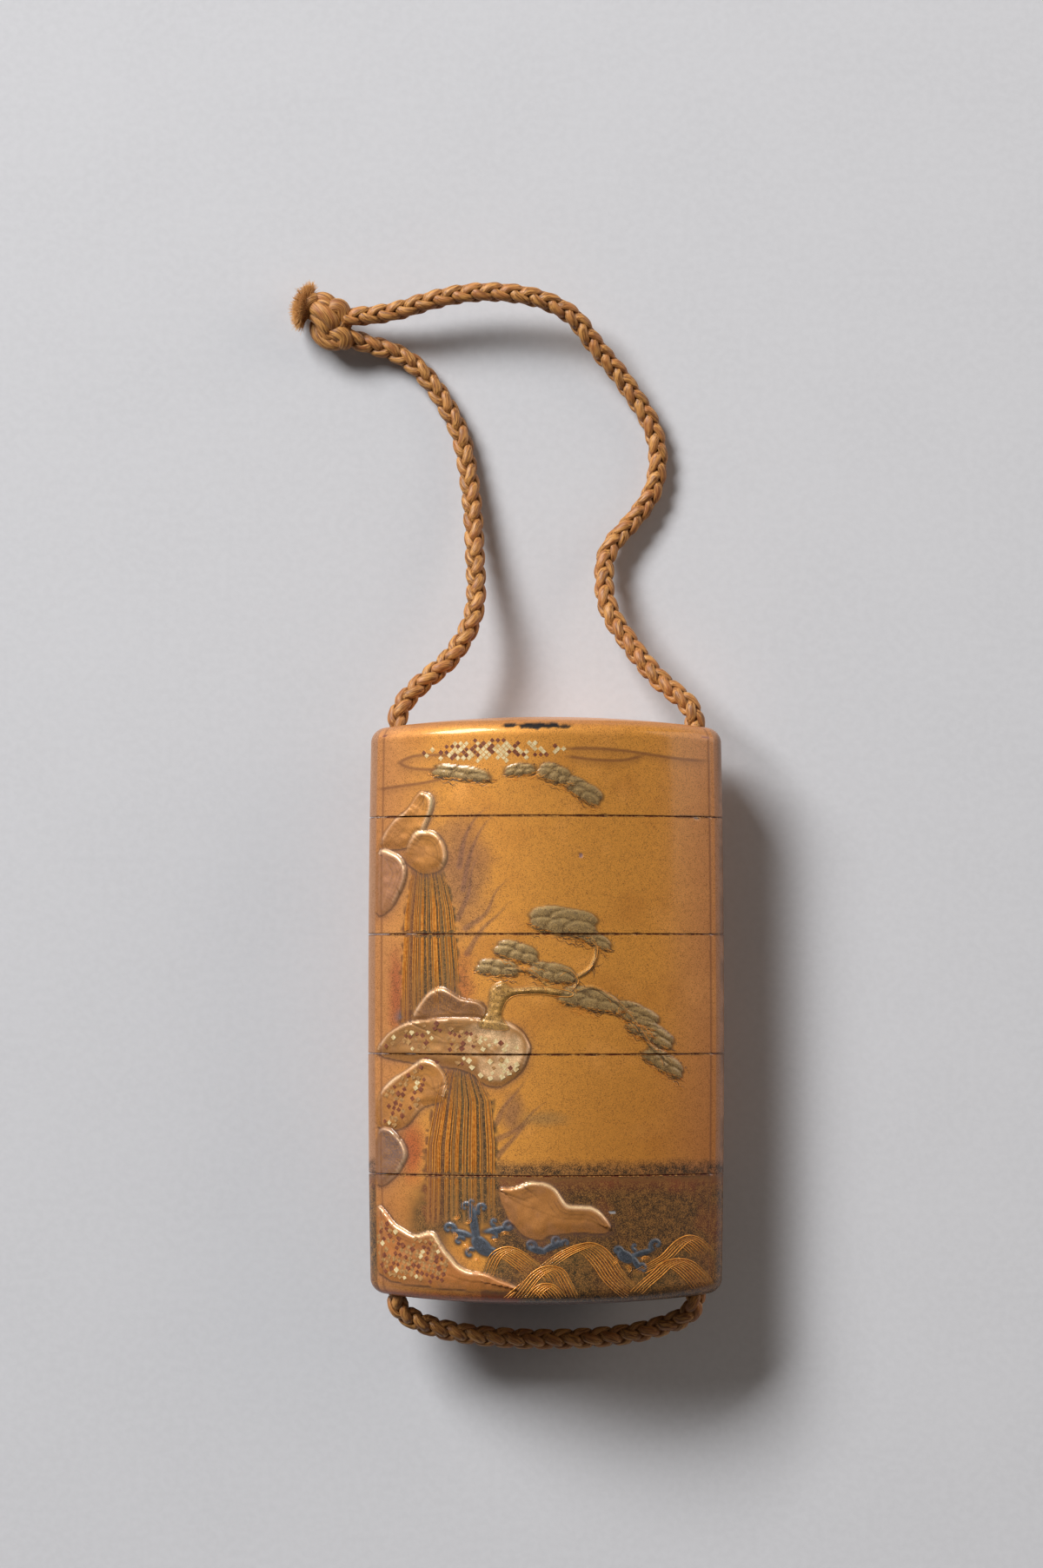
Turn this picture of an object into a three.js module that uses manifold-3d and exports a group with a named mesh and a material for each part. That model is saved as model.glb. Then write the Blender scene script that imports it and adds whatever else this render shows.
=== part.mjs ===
// An inro: a small tiered lacquer case that hangs from a sash. Five pieces stack on inner risers, and one
// silk cord runs down one side, under the base, up the other side and into a knot.
// Millimetres. The case lies on its back: +Z is up, out of its decorated front, and +Y points to the lid.
import * as THREE from "three";
import { mergeVertices } from "three/addons/utils/BufferGeometryUtils.js";
import Module from "manifold-3d";

const wasm = await Module();
wasm.setup();

// ---- Driving dimensions -------------------------------------------------------------------------------

// The case's section is a lens: one wide arc for the front, one for the back, and a small arc at each side.
const HALF_WIDTH = 26.75;
const HALF_DEPTH = 11.8;
const SIDE_RADIUS = 3.4;
const HALF_HEIGHT = 44.05;
const SIDE_BOW = 0.45; // how much narrower each side is at the case's ends
const DOME_RADIUS_ACROSS = 190; // the slightly domed ends
const DOME_RADIUS_THROUGH = 60;
const EDGE_RADIUS = 2.0;

// The pieces, from the lid down, and the heights at which they part.
const PIECES = ["lid", "tier_1", "tier_2", "tier_3", "base_tier"];
const SEAMS = [28.9, 11.35, -6.5, -24.45];
const SEAM_GAP = 0.3;

// The hollow of each piece, the riser that stands up from it, and the recess above that takes the riser.
const WALL = 2.4;
const RISER_WALL = 0.8;
const FIT_GAP = 0.3;
const HOLLOW_HALF_WIDTH = 18.6;
const RISER_HEIGHT = 4.5;
const FLOOR = 1.2;
const END_WALL = 2.9; // the lid's ceiling and the base's floor, at the middle of the dome

// The cord and the channels that it runs in.
const CORD_DIAMETER = 2.9;
const CHANNEL_X = 22.3;
const CHANNEL_RADIUS = 1.75;
const CHANNEL_MOUTH_RADIUS = 2.3;
const CHANNEL_MOUTH_DEPTH = 1.2;
const CORD_STEPS = 76;
const CORD_SIDES = 8;

// The raised lacquer picture: how far each kind of thing stands out of the ground.
const ROCK_RELIEF = 0.45;
const PINE_RELIEF = 0.3;
const TRUNK_RELIEF = 0.35;

// Facets along each stretch of the section. The back has an odd number, so that a flat strip lies on its
// crown line, and the case rests on it without rolling.
const FRONT_STEPS = 16;
const BACK_STEPS = 15;
const SIDE_STEPS = 6;

// ---- The lens section ---------------------------------------------------------------------------------

// The distance from the case's middle plane to the centre of each wide arc, and that arc's radius: it meets
// the side arc without a corner.
const sideCentre = HALF_WIDTH - SIDE_RADIUS;
const ARC_RADIUS =
  (sideCentre ** 2 + HALF_DEPTH ** 2 - SIDE_RADIUS ** 2) / (2 * (HALF_DEPTH - SIDE_RADIUS));
const ARC_CENTRE = ARC_RADIUS - HALF_DEPTH;

// Half the turn of the back's middle facet sets how high the case's middle plane lies above the table.
const ARC_TURN = Math.atan2(sideCentre, ARC_CENTRE);
const REST_HEIGHT = ARC_RADIUS * Math.cos(ARC_TURN / BACK_STEPS) - ARC_CENTRE;

// A lens of its own half width that keeps the case's arc centres, so that its walls are even: the radius of
// its side arc follows from its wide arc.
function lens(halfWidth, arcRadius) {
  const sideRadius =
    (arcRadius ** 2 - halfWidth ** 2 - ARC_CENTRE ** 2) / (2 * (arcRadius - halfWidth));
  return { sideCentre: halfWidth - sideRadius, sideRadius, arcRadius };
}

// The lens's outline as points [x, z], grown by `grow`, counter-clockwise as seen from the base.
function lensOutline({ sideCentre: centre, sideRadius, arcRadius }, grow, steps) {
  const turn = Math.atan2(centre, ARC_CENTRE);
  const points = [];
  const arc = (cx, cz, radius, from, to, count) => {
    for (let i = 0; i < count; i++) {
      const angle = from + ((to - from) * i) / count;
      points.push([cx + radius * Math.sin(angle), cz + radius * Math.cos(angle)]);
    }
  };
  arc(0, -ARC_CENTRE, arcRadius + grow, -turn, turn, steps.front);
  arc(centre, 0, sideRadius + grow, turn, Math.PI - turn, steps.side);
  arc(0, ARC_CENTRE, arcRadius + grow, Math.PI - turn, Math.PI + turn, steps.back);
  arc(-centre, 0, sideRadius + grow, Math.PI + turn, 2 * Math.PI - turn, steps.side);
  return points;
}

const CASE_LENS = lens(HALF_WIDTH, ARC_RADIUS);
const HOLLOW_LENS = lens(HOLLOW_HALF_WIDTH, ARC_RADIUS - WALL);
const CASE_STEPS = { front: FRONT_STEPS, side: SIDE_STEPS, back: BACK_STEPS };
const HOLLOW_STEPS = { front: 10, side: 4, back: 10 };

// ---- Solids -------------------------------------------------------------------------------------------

// A closed geometry through rings of [x, y, z] points, each end closed onto its middle point.
function loft(rings) {
  const count = rings[0].length;
  const middle = (ring) => {
    const sum = ring.reduce((s, p) => [s[0] + p[0], s[1] + p[1], s[2] + p[2]], [0, 0, 0]);
    return sum.map((v) => v / ring.length);
  };
  const first = middle(rings[0]);
  const last = middle(rings[rings.length - 1]);
  const positions = [...rings.flat(2), ...first, ...last];
  const firstIndex = rings.length * count;
  const index = [];
  for (let i = 0; i < count; i++) {
    const j = (i + 1) % count;
    for (let r = 0; r + 1 < rings.length; r++) {
      const low = r * count;
      const high = low + count;
      index.push(low + i, high + j, high + i, low + i, low + j, high + j);
    }
    const top = (rings.length - 1) * count;
    index.push(firstIndex, j, i);
    index.push(firstIndex + 1, top + i, top + j);
  }
  const geometry = new THREE.BufferGeometry();
  geometry.setAttribute("position", new THREE.Float32BufferAttribute(positions, 3));
  geometry.setIndex(index);
  return geometry;
}

function toSolid(geometry) {
  const bare = geometry.clone();
  for (const name of Object.keys(bare.attributes)) {
    if (name !== "position") bare.deleteAttribute(name);
  }
  const merged = mergeVertices(bare, 1e-4);
  const corners = merged.index.array;
  const kept = [];
  for (let i = 0; i < corners.length; i += 3) {
    const [a, b, c] = corners.slice(i, i + 3);
    if (a !== b && b !== c && c !== a) kept.push(a, b, c);
  }
  return new wasm.Manifold(
    new wasm.Mesh({
      numProp: 3,
      vertProperties: new Float32Array(merged.attributes.position.array),
      triVerts: new Uint32Array(kept),
    }),
  );
}

function toGeometry(solid) {
  const mesh = solid.getMesh();
  const geometry = new THREE.BufferGeometry();
  geometry.setAttribute("position", new THREE.BufferAttribute(mesh.vertProperties, 3));
  geometry.setIndex(new THREE.BufferAttribute(mesh.triVerts, 1));
  const flat = geometry.toNonIndexed();
  flat.computeVertexNormals();
  return flat;
}

// A straight prism of a lens between two heights.
function prism(shape, grow, low, high) {
  const outline = lensOutline(shape, grow, HOLLOW_STEPS);
  return toSolid(loft([low, high].map((y) => outline.map(([x, z]) => [x, y, z]))));
}

const domeDrop = (x, z) => x ** 2 / (2 * DOME_RADIUS_ACROSS) + z ** 2 / (2 * DOME_RADIUS_THROUGH);
const bowAt = (y) => 1 - (SIDE_BOW / HALF_WIDTH) * (y / HALF_HEIGHT) ** 2;

// The whole case's outer form, grown by `grow`: bowed sides, rounded edges and domed ends.
function caseForm(grow) {
  const capShares = [0.3, 0.66];
  const edgeAngles = [90, 58, 26, 0].map(THREE.MathUtils.degToRad);
  const endRings = (end) => {
    const flatCap = lensOutline(CASE_LENS, -EDGE_RADIUS, CASE_STEPS);
    const height = HALF_HEIGHT + grow;
    const cap = capShares.map((share) =>
      flatCap.map(([x, z]) => [x * share, end * (height - domeDrop(x * share, z * share)), z * share]),
    );
    const edge = edgeAngles.map((angle) => {
      const inset = EDGE_RADIUS * (1 - Math.cos(angle)) - grow;
      return lensOutline(CASE_LENS, -inset, CASE_STEPS).map(([x, z]) => {
        const y = height - domeDrop(x, z) - EDGE_RADIUS * (1 - Math.sin(angle));
        return [x * bowAt(y), end * y, z];
      });
    });
    return [...cap, ...edge];
  };
  const outline = lensOutline(CASE_LENS, grow, CASE_STEPS);
  const sideHeights = [-22, 0, 22];
  const sides = sideHeights.map((y) => outline.map(([x, z]) => [x * bowAt(y), y, z]));
  return toSolid(loft([...endRings(-1), ...sides, ...endRings(1).reverse()]));
}

// Everything between two heights.
function slab(low, high) {
  const reach = 4 * HALF_WIDTH;
  const box = new THREE.BoxGeometry(reach, high - low, reach);
  box.translate(0, (low + high) / 2, 0);
  return toSolid(box);
}

// The cord's channel on one side, with a rounded-off mouth at each end of the case.
function channel(side) {
  const bore = new THREE.CylinderGeometry(CHANNEL_RADIUS, CHANNEL_RADIUS, 3 * HALF_HEIGHT, 16);
  const flare = CHANNEL_MOUTH_RADIUS - CHANNEL_RADIUS;
  const mouthY = HALF_HEIGHT - domeDrop(CHANNEL_X, 0);
  let hole = toSolid(bore.translate(side * CHANNEL_X, 0, 0));
  for (const end of [-1, 1]) {
    const wide = CHANNEL_MOUTH_RADIUS + flare;
    const narrow = CHANNEL_RADIUS;
    const mouth = new THREE.CylinderGeometry(
      end > 0 ? wide : narrow,
      end > 0 ? narrow : wide,
      2 * CHANNEL_MOUTH_DEPTH,
      16,
    );
    hole = hole.add(toSolid(mouth.translate(side * CHANNEL_X, end * mouthY, 0)));
  }
  return hole;
}

// ---- The raised picture -------------------------------------------------------------------------------

// Outlines in the front view, [x, y] from the middle of the case. Rocks stand at the left edge, on both
// sides of two falls, and in the sea.
const ROCKS = [
  // the peak over the upper fall, the boulder below it, and the boulder at the edge
  [[-25.0, 24.2], [-23.4, 28.0], [-20.7, 30.3], [-18.9, 32.7], [-16.9, 31.4], [-17.6, 28.2], [-20.0, 24.6]],
  [[-19.8, 26.4], [-17.0, 26.6], [-15.2, 24.8], [-14.8, 22.4], [-16.4, 20.6], [-19.2, 20.6], [-21.2, 22.8]],
  [[-25.4, 23.4], [-22.4, 23.4], [-20.9, 20.8], [-21.4, 18.4], [-23.0, 15.6], [-25.4, 14.6]],
  // the peak behind the ledge, and the ledge that parts the falls
  [[-19.8, -2.0], [-18.4, 1.6], [-15.6, 3.5], [-12.6, 1.9], [-9.8, 1.3], [-8.8, -1.2], [-12.0, -3.0]],
  [
    [-25.2, -6.6],
    [-22.6, -2.7],
    [-18.4, -1.4],
    [-11.6, -1.1],
    [-5.4, -1.9],
    [-2.5, -4.8],
    [-3.2, -8.2],
    [-6.0, -10.9],
    [-8.8, -11.1],
    [-12.0, -8.9],
    [-17.0, -8.2],
  ],
  // the boulders beside the lower fall
  [
    [-25.0, -12.4],
    [-21.0, -8.9],
    [-17.8, -7.3],
    [-15.0, -9.3],
    [-14.9, -13.1],
    [-18.2, -14.4],
    [-21.6, -17.6],
    [-25.2, -17.4],
  ],
  [[-25.4, -18.4], [-23.2, -17.7], [-21.2, -20.0], [-20.9, -22.2], [-22.6, -24.8], [-25.4, -26.0]],
  // the rock in the sea
  [
    [-7.4, -31.0],
    [-6.6, -27.0],
    [-3.2, -26.1],
    [0.6, -25.3],
    [3.4, -27.3],
    [7.0, -28.6],
    [9.3, -30.9],
    [6.6, -32.5],
    [0.6, -32.4],
    [-4.0, -33.2],
  ],
  // the shore in the foreground
  [
    [-25.4, -29.4],
    [-22.4, -32.0],
    [-19.6, -33.2],
    [-16.8, -33.0],
    [-14.6, -36.0],
    [-12.2, -38.3],
    [-8.6, -39.0],
    [-4.4, -41.3],
    [-14.0, -41.2],
    [-25.2, -39.4],
  ],
];

// The pine's clumps of needles: centre, half length, half height and lean in degrees.
const PINE_CLUMPS = [
  { x: 3.0, y: 13.4, long: 6.6, tall: 1.9, lean: -8 },
  { x: -5.4, y: 7.0, long: 5.2, tall: 1.9, lean: -6 },
  { x: 2.4, y: 6.9, long: 4.4, tall: 1.6, lean: -12 },
  { x: 8.2, y: 0.6, long: 6.8, tall: 2.0, lean: -14 },
  { x: 16.4, y: -4.0, long: 5.6, tall: 1.9, lean: -38 },
  { x: -12.2, y: 35.2, long: 6.0, tall: 1.4, lean: -4 },
  { x: 0.6, y: 35.5, long: 4.6, tall: 1.3, lean: 6 },
  { x: 5.4, y: 32.2, long: 4.0, tall: 1.5, lean: -34 },
];
const CLUMP_LOBES = 7;

// The pine's trunk, rooted on the ledge, and the branch that carries the clumps.
const TRUNK = [
  [-9.9, -2.4],
  [-8.6, 0.4],
  [-8.4, 3.0],
  [-6.6, 4.4],
  [-4.9, 3.4],
  [-1.0, 3.6],
  [3.6, 2.8],
  [3.2, 2.0],
  [-1.4, 2.4],
  [-5.4, 1.9],
  [-6.6, -0.8],
  [-5.6, -2.8],
];

// A smooth closed shape through a few points.
function smoothShape(points) {
  const curve = new THREE.CatmullRomCurve3(
    points.map(([x, y]) => new THREE.Vector3(x, y, 0)),
    true,
  );
  const samples = curve.getPoints(Math.round(points.length * 2.5)).slice(0, -1);
  return new THREE.Shape(samples.map((p) => new THREE.Vector2(p.x, p.y)));
}

// A clump: a long lens whose upper edge is scalloped into lobes.
function clumpShape({ x, y, long, tall, lean }) {
  const points = [];
  const count = CLUMP_LOBES * 3;
  const turn = THREE.MathUtils.degToRad(lean);
  for (let i = 0; i < count; i++) {
    const angle = (2 * Math.PI * i) / count;
    const upper = Math.max(0, Math.sin(angle));
    const lobe = 1 + 0.18 * upper * Math.abs(Math.sin(CLUMP_LOBES * angle * 0.5));
    const u = long * Math.cos(angle) * lobe;
    const v = tall * Math.sin(angle) * lobe * (upper > 0 ? 1 : 0.55);
    const px = x + u * Math.cos(turn) - v * Math.sin(turn);
    const py = y + u * Math.sin(turn) + v * Math.cos(turn);
    points.push(new THREE.Vector2(px, py));
  }
  return new THREE.Shape(points);
}

// The part of a shape's column, from the middle plane up, that lies in the case's form grown by `relief`.
function raised(shape, form) {
  const column = new THREE.ExtrudeGeometry(shape, { depth: 2 * HALF_DEPTH, bevelEnabled: false });
  return toSolid(column).intersect(form);
}

function picture() {
  const sets = [
    { relief: ROCK_RELIEF, shapes: ROCKS.map(smoothShape) },
    { relief: PINE_RELIEF, shapes: PINE_CLUMPS.map(clumpShape) },
    { relief: TRUNK_RELIEF, shapes: [smoothShape(TRUNK)] },
  ];
  return sets.flatMap(({ relief, shapes }) => {
    const form = caseForm(relief);
    return shapes.map((shape) => raised(shape, form));
  });
}

// ---- The pieces ---------------------------------------------------------------------------------------

function casePieces() {
  let whole = caseForm(0);
  for (const part of picture()) whole = whole.add(part);
  const channels = channel(-1).add(channel(1));
  const ends = [2 * HALF_HEIGHT, ...SEAMS, -2 * HALF_HEIGHT];
  return PIECES.map((name, i) => {
    const isLid = i === 0;
    const isBase = i === PIECES.length - 1;
    const low = ends[i + 1] + SEAM_GAP / 2;
    const high = ends[i] - SEAM_GAP / 2;
    let piece = whole.intersect(slab(low, high));
    const recessTop = low + RISER_HEIGHT + SEAM_GAP + FIT_GAP;
    if (!isBase) {
      piece = piece.subtract(prism(HOLLOW_LENS, RISER_WALL + FIT_GAP, low - 1, recessTop));
    }
    const floor = isBase ? -HALF_HEIGHT + END_WALL : recessTop + FLOOR;
    if (isLid) {
      piece = piece.subtract(prism(HOLLOW_LENS, 0, recessTop - 1, HALF_HEIGHT - END_WALL));
    } else {
      piece = piece.add(prism(HOLLOW_LENS, RISER_WALL, high - 1, high + RISER_HEIGHT));
      piece = piece.subtract(prism(HOLLOW_LENS, 0, floor, high + RISER_HEIGHT + 1));
    }
    return { name, solid: piece.subtract(channels) };
  });
}

// The cord's route from the knot, down the left channel, under the base and up the right channel to the
// knot again. Heights are above the table; inside the case they are the middle plane's.
const Z = REST_HEIGHT;
const LEFT_STRAND = [
  [-28.7, 102.2, 2.6],
  [-26.8, 101.6, 2.2],
  [-23.7, 100.7, 1.8],
  [-20.5, 98.9, 1.6],
  [-17.6, 95.9, 1.5],
  [-15.1, 92.1, 1.5],
  [-13.1, 87.9, 1.6],
  [-12.2, 84.0, 1.8],
  [-11.5, 79.2, 2.4],
  [-11.0, 73.8, 3.3],
  [-10.8, 69.1, 4.5],
  [-10.6, 64.2, 5.9],
  [-10.8, 60.8, 7.0],
  [-12.1, 56.9, 8.1],
  [-15.0, 52.6, 9.5],
  [-18.6, 49.4, 10.6],
  [-21.4, 46.3, 11.3],
  [-22.3, 44.2, Z],
];
const BASE_LOOP = [
  [-22.3, -43.9, Z],
  [-21.4, -45.4, 11.1],
  [-19.1, -46.8, 10.3],
  [-15.6, -48.0, 9.3],
  [-10.9, -48.9, 8.4],
  [-4.4, -49.5, 7.8],
  [1.8, -49.6, 7.5],
  [8.1, -49.3, 7.8],
  [13.3, -48.6, 8.5],
  [17.9, -47.3, 9.6],
  [21.2, -45.7, 10.9],
  [22.3, -43.9, Z],
];
const RIGHT_STRAND = [
  [22.3, 44.2, Z],
  [21.4, 46.0, 11.4],
  [19.5, 47.8, 10.6],
  [16.9, 50.1, 9.6],
  [14.2, 53.4, 8.2],
  [11.9, 56.7, 6.9],
  [10.1, 59.6, 5.8],
  [9.1, 62.5, 4.9],
  [8.9, 65.8, 3.9],
  [9.1, 68.7, 3.0],
  [10.3, 71.2, 2.4],
  [12.4, 73.6, 2.0],
  [14.7, 76.4, 1.7],
  [16.4, 79.4, 1.55],
  [17.1, 82.7, 1.5],
  [17.1, 85.6, 1.5],
  [16.5, 88.4, 1.6],
  [15.2, 91.2, 1.8],
  [13.4, 93.9, 2.1],
  [11.4, 96.8, 2.6],
  [9.0, 99.6, 3.4],
  [6.7, 102.4, 4.4],
  [4.3, 105.4, 5.4],
  [0.5, 107.6, 6.2],
  [-3.7, 108.7, 6.7],
  [-8.5, 109.1, 6.8],
  [-13.1, 108.8, 6.5],
  [-17.9, 107.8, 5.9],
  [-22.1, 106.6, 5.2],
  [-26.0, 105.9, 4.6],
  [-28.9, 105.7, 4.3],
];
// The straight run in each channel, between the strands and the loop, downwards on the left (side -1).
const CHANNEL_STOPS = [40, 20, 0, -20, -40];
const channelRun = (side) => CHANNEL_STOPS.map((y) => [side * CHANNEL_X, -side * y, Z]);

function cordGeometry() {
  const route = [
    ...LEFT_STRAND,
    ...channelRun(-1),
    ...BASE_LOOP,
    ...channelRun(1),
    ...RIGHT_STRAND,
  ];
  const curve = new THREE.CatmullRomCurve3(
    route.map((p) => new THREE.Vector3(...p)),
    false,
    "centripetal",
  );
  const section = new THREE.Shape();
  for (let i = 0; i < CORD_SIDES; i++) {
    const angle = (2 * Math.PI * (i + 0.5)) / CORD_SIDES;
    const x = (CORD_DIAMETER / 2) * Math.cos(angle);
    const y = (CORD_DIAMETER / 2) * Math.sin(angle);
    if (i === 0) section.moveTo(x, y);
    else section.lineTo(x, y);
  }
  return new THREE.ExtrudeGeometry(section, {
    steps: CORD_STEPS,
    extrudePath: curve,
    bevelEnabled: false,
  });
}

// The overhand knot that joins the two strands: a round body, two wraps that cross on it, the turned-up
// loop beside the strands, and the brush of cut ends on the far side.
const KNOT = new THREE.Vector3(-32.6, 104.6, 3.45);

function knotSolid() {
  const place = (geometry, { x, y, z }, turn = [0, 0, 0], scale = [1, 1, 1]) => {
    const matrix = new THREE.Matrix4().compose(
      new THREE.Vector3(x, y, z),
      new THREE.Quaternion().setFromEuler(new THREE.Euler(...turn)),
      new THREE.Vector3(...scale),
    );
    return toSolid(geometry.clone().applyMatrix4(matrix));
  };
  const ball = new THREE.SphereGeometry(1, 12, 7);
  const wrap = new THREE.TorusGeometry(1.9, CORD_DIAMETER / 2, 8, 12);
  const brush = new THREE.LatheGeometry(
    [[0, 0], [1.8, 0], [2.2, 1.8], [3.0, 3.2], [2.6, 4.3], [0, 4.8]].map((p) => new THREE.Vector2(...p)),
    10,
  );
  return place(ball, { x: 0, y: 0, z: 0 }, [0, 0, -0.7], [3.3, 2.9, 2.9])
    .add(place(wrap, { x: 0.2, y: 0.2, z: 0.0 }, [0, Math.PI / 2, 0.75]))
    .add(place(wrap, { x: -0.6, y: 0.6, z: 0.1 }, [0.5, 1.2, -0.5], [1, 1, 0.95]))
    .add(place(ball, { x: 1.3, y: -3.4, z: -0.4 }, [0, 0, 0.5], [1.9, 1.7, 1.9]))
    .add(place(brush, { x: -1.7, y: 1.2, z: -0.1 }, [0, 0, 1.15], [1, 1, 0.95]));
}

// ---- The object ---------------------------------------------------------------------------------------

const goldLacquer = () =>
  new THREE.MeshStandardMaterial({ color: 0xb8762f, roughness: 0.35, metalness: 0.5 });
const silk = () => new THREE.MeshStandardMaterial({ color: 0xa8712c, roughness: 0.8, metalness: 0 });

function named(name, geometry, material) {
  const mesh = new THREE.Mesh(geometry, material);
  mesh.name = name;
  return mesh;
}

const inro = new THREE.Group();

const box = new THREE.Group();
box.position.z = REST_HEIGHT;
for (const { name, solid } of casePieces()) {
  box.add(named(name, toGeometry(solid), goldLacquer()));
}
inro.add(box);

inro.add(named("cord", cordGeometry(), silk()));

const knot = named("knot", toGeometry(knotSolid()), silk());
knot.position.copy(KNOT);
inro.add(knot);

export default inro;
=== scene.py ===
"""An inro on its back on pale paper: a tiered gold-lacquer case with a raised picture, and its silk cord.

Lengths are in millimetres until a mesh is made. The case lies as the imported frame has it: +Z out of its
decorated front, +Y to the lid. "Picture" coordinates are (x, y) from the middle of the case.
"""
import math

import bpy
import numpy as np
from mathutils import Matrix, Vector


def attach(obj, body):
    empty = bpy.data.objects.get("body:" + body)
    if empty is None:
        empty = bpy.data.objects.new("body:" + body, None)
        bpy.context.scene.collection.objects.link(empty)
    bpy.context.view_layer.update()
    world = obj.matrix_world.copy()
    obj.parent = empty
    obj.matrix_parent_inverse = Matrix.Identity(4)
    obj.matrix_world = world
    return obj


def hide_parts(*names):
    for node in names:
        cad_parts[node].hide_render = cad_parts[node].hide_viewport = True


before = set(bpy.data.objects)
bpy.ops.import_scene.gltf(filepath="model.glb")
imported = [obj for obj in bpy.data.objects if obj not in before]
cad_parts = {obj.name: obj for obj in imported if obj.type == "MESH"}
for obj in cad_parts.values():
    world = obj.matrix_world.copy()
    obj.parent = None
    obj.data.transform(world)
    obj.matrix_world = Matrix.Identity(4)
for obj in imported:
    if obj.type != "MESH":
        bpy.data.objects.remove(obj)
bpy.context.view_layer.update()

MM = 0.001

# ---- The case's section, as the frame's source has it ---------------------------------------------------

PIECES = ["lid", "tier_1", "tier_2", "tier_3", "base_tier"]

HALF_WIDTH = 26.75
HALF_DEPTH = 11.8
SIDE_RADIUS = 3.4
HALF_HEIGHT = 44.05
SIDE_BOW = 0.45
DOME_RADIUS_ACROSS = 190.0
DOME_RADIUS_THROUGH = 60.0
EDGE_RADIUS = 2.0
SEAMS = [28.9, 11.35, -6.5, -24.45]
SEAM_GAP = 0.07  # what is seen of the gap from outside
WALL = 2.4
RISER_WALL = 0.8
FIT_GAP = 0.3
HOLLOW_HALF_WIDTH = 18.6
RISER_HEIGHT = 4.5
FLOOR = 1.2
END_WALL = 2.9

CHANNEL_X = 22.3
CHANNEL_RADIUS = 1.75
CHANNEL_MOUTH_RADIUS = 2.3
CHANNEL_MOUTH_DEPTH = 1.2
BACK_FACETS = 15  # the case rests on the middle one of the frame's back facets

ARC_RADIUS = ((HALF_WIDTH - SIDE_RADIUS) ** 2 + HALF_DEPTH**2 - SIDE_RADIUS**2) / (
    2 * (HALF_DEPTH - SIDE_RADIUS)
)
ARC_CENTRE = ARC_RADIUS - HALF_DEPTH
ARC_TURN = math.atan2(HALF_WIDTH - SIDE_RADIUS, ARC_CENTRE)
REST_HEIGHT = ARC_RADIUS * math.cos(ARC_TURN / BACK_FACETS) - ARC_CENTRE

# ---- Camera, light and paper ----------------------------------------------------------------------------

CAMERA_PLACE = Vector((-3.7, 6.1, 761.8)) * MM
CAMERA_TILT = math.radians(2.13)
CAMERA_LENS = 114.42  # millimetres, on a 36 mm sensor

KEY_DIRECTION = Vector((-0.56, 0.62, 0.585))
KEY_DISTANCE = 2.2
KEY_SIZE = (1.1, 0.66)
KEY_POWER = 71.0
KEY_COLOUR = (0.98, 0.99, 1.0)
FILL_DIRECTION = Vector((0.88, 0.38, 0.25))
FILL_DISTANCE = 1.8
FILL_SIZE = (1.2, 1.2)
FILL_POWER = 11.0
FILL_COLOUR = (1.0, 0.86, 0.74)
SKY_STRENGTH = 0.095
SKY_COLOUR = (1.0, 0.93, 0.88)
PAPER_HALF_SIZE = 0.9
PAPER_COLOUR = (0.60, 0.60, 0.62)


def make_camera():
    data = bpy.data.cameras.new("copy_stand_camera")
    data.lens = CAMERA_LENS
    camera = bpy.data.objects.new("copy_stand_camera", data)
    camera.location = CAMERA_PLACE
    camera.rotation_euler = (CAMERA_TILT, 0, 0)
    bpy.context.scene.collection.objects.link(camera)
    bpy.context.scene.camera = camera


def make_light(name, direction, distance, size, power, colour):
    data = bpy.data.lights.new(name, "AREA")
    data.shape = "RECTANGLE"
    data.size, data.size_y = size
    data.energy = power
    data.color = colour
    light = bpy.data.objects.new(name, data)
    light.location = direction.normalized() * distance
    light.rotation_mode = "QUATERNION"
    light.rotation_quaternion = direction.to_track_quat("Z", "Y")
    bpy.context.scene.collection.objects.link(light)


def make_sky():
    world = bpy.data.worlds.new("studio_air")
    world.use_nodes = True
    air = world.node_tree.nodes["Background"]
    air.inputs["Color"].default_value = (*SKY_COLOUR, 1)
    air.inputs["Strength"].default_value = SKY_STRENGTH
    bpy.context.scene.world = world
    bpy.context.scene.view_settings.view_transform = "Standard"


make_camera()
make_light("softbox", KEY_DIRECTION, KEY_DISTANCE, KEY_SIZE, KEY_POWER, KEY_COLOUR)
make_light("reflector", FILL_DIRECTION, FILL_DISTANCE, FILL_SIZE, FILL_POWER, FILL_COLOUR)
make_sky()

# ---- Making meshes --------------------------------------------------------------------------------------


def mesh_from_arrays(name, points_mm, faces, smooth=True):
    """A mesh of points in millimetres and quads or triangles, each face a row of indices."""
    mesh = bpy.data.meshes.new(name)
    points = np.asarray(points_mm, np.float32) * MM
    faces = np.asarray(faces, np.int32)
    sides = faces.shape[1]
    mesh.vertices.add(len(points))
    mesh.vertices.foreach_set("co", points.ravel())
    mesh.loops.add(faces.size)
    mesh.loops.foreach_set("vertex_index", faces.ravel())
    mesh.polygons.add(len(faces))
    mesh.polygons.foreach_set("loop_start", np.arange(0, faces.size, sides, dtype=np.int32))
    mesh.update(calc_edges=True)
    mesh.validate()
    if smooth:
        mesh.shade_smooth()
    return mesh


def place(name, mesh, body="root"):
    piece = bpy.data.objects.new(name, mesh)
    bpy.context.scene.collection.objects.link(piece)
    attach(piece, body)
    return piece


def strip_faces(rings, around, closed=True):
    """Quads between `rings` rings of `around` points each."""
    ring = np.arange(rings - 1)[:, None] * around
    step = np.arange(around if closed else around - 1)[None, :]
    after = (step + 1) % around
    low, high = ring, ring + around
    return np.stack([low + step, low + after, high + after, high + step], -1).reshape(-1, 4)


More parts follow.
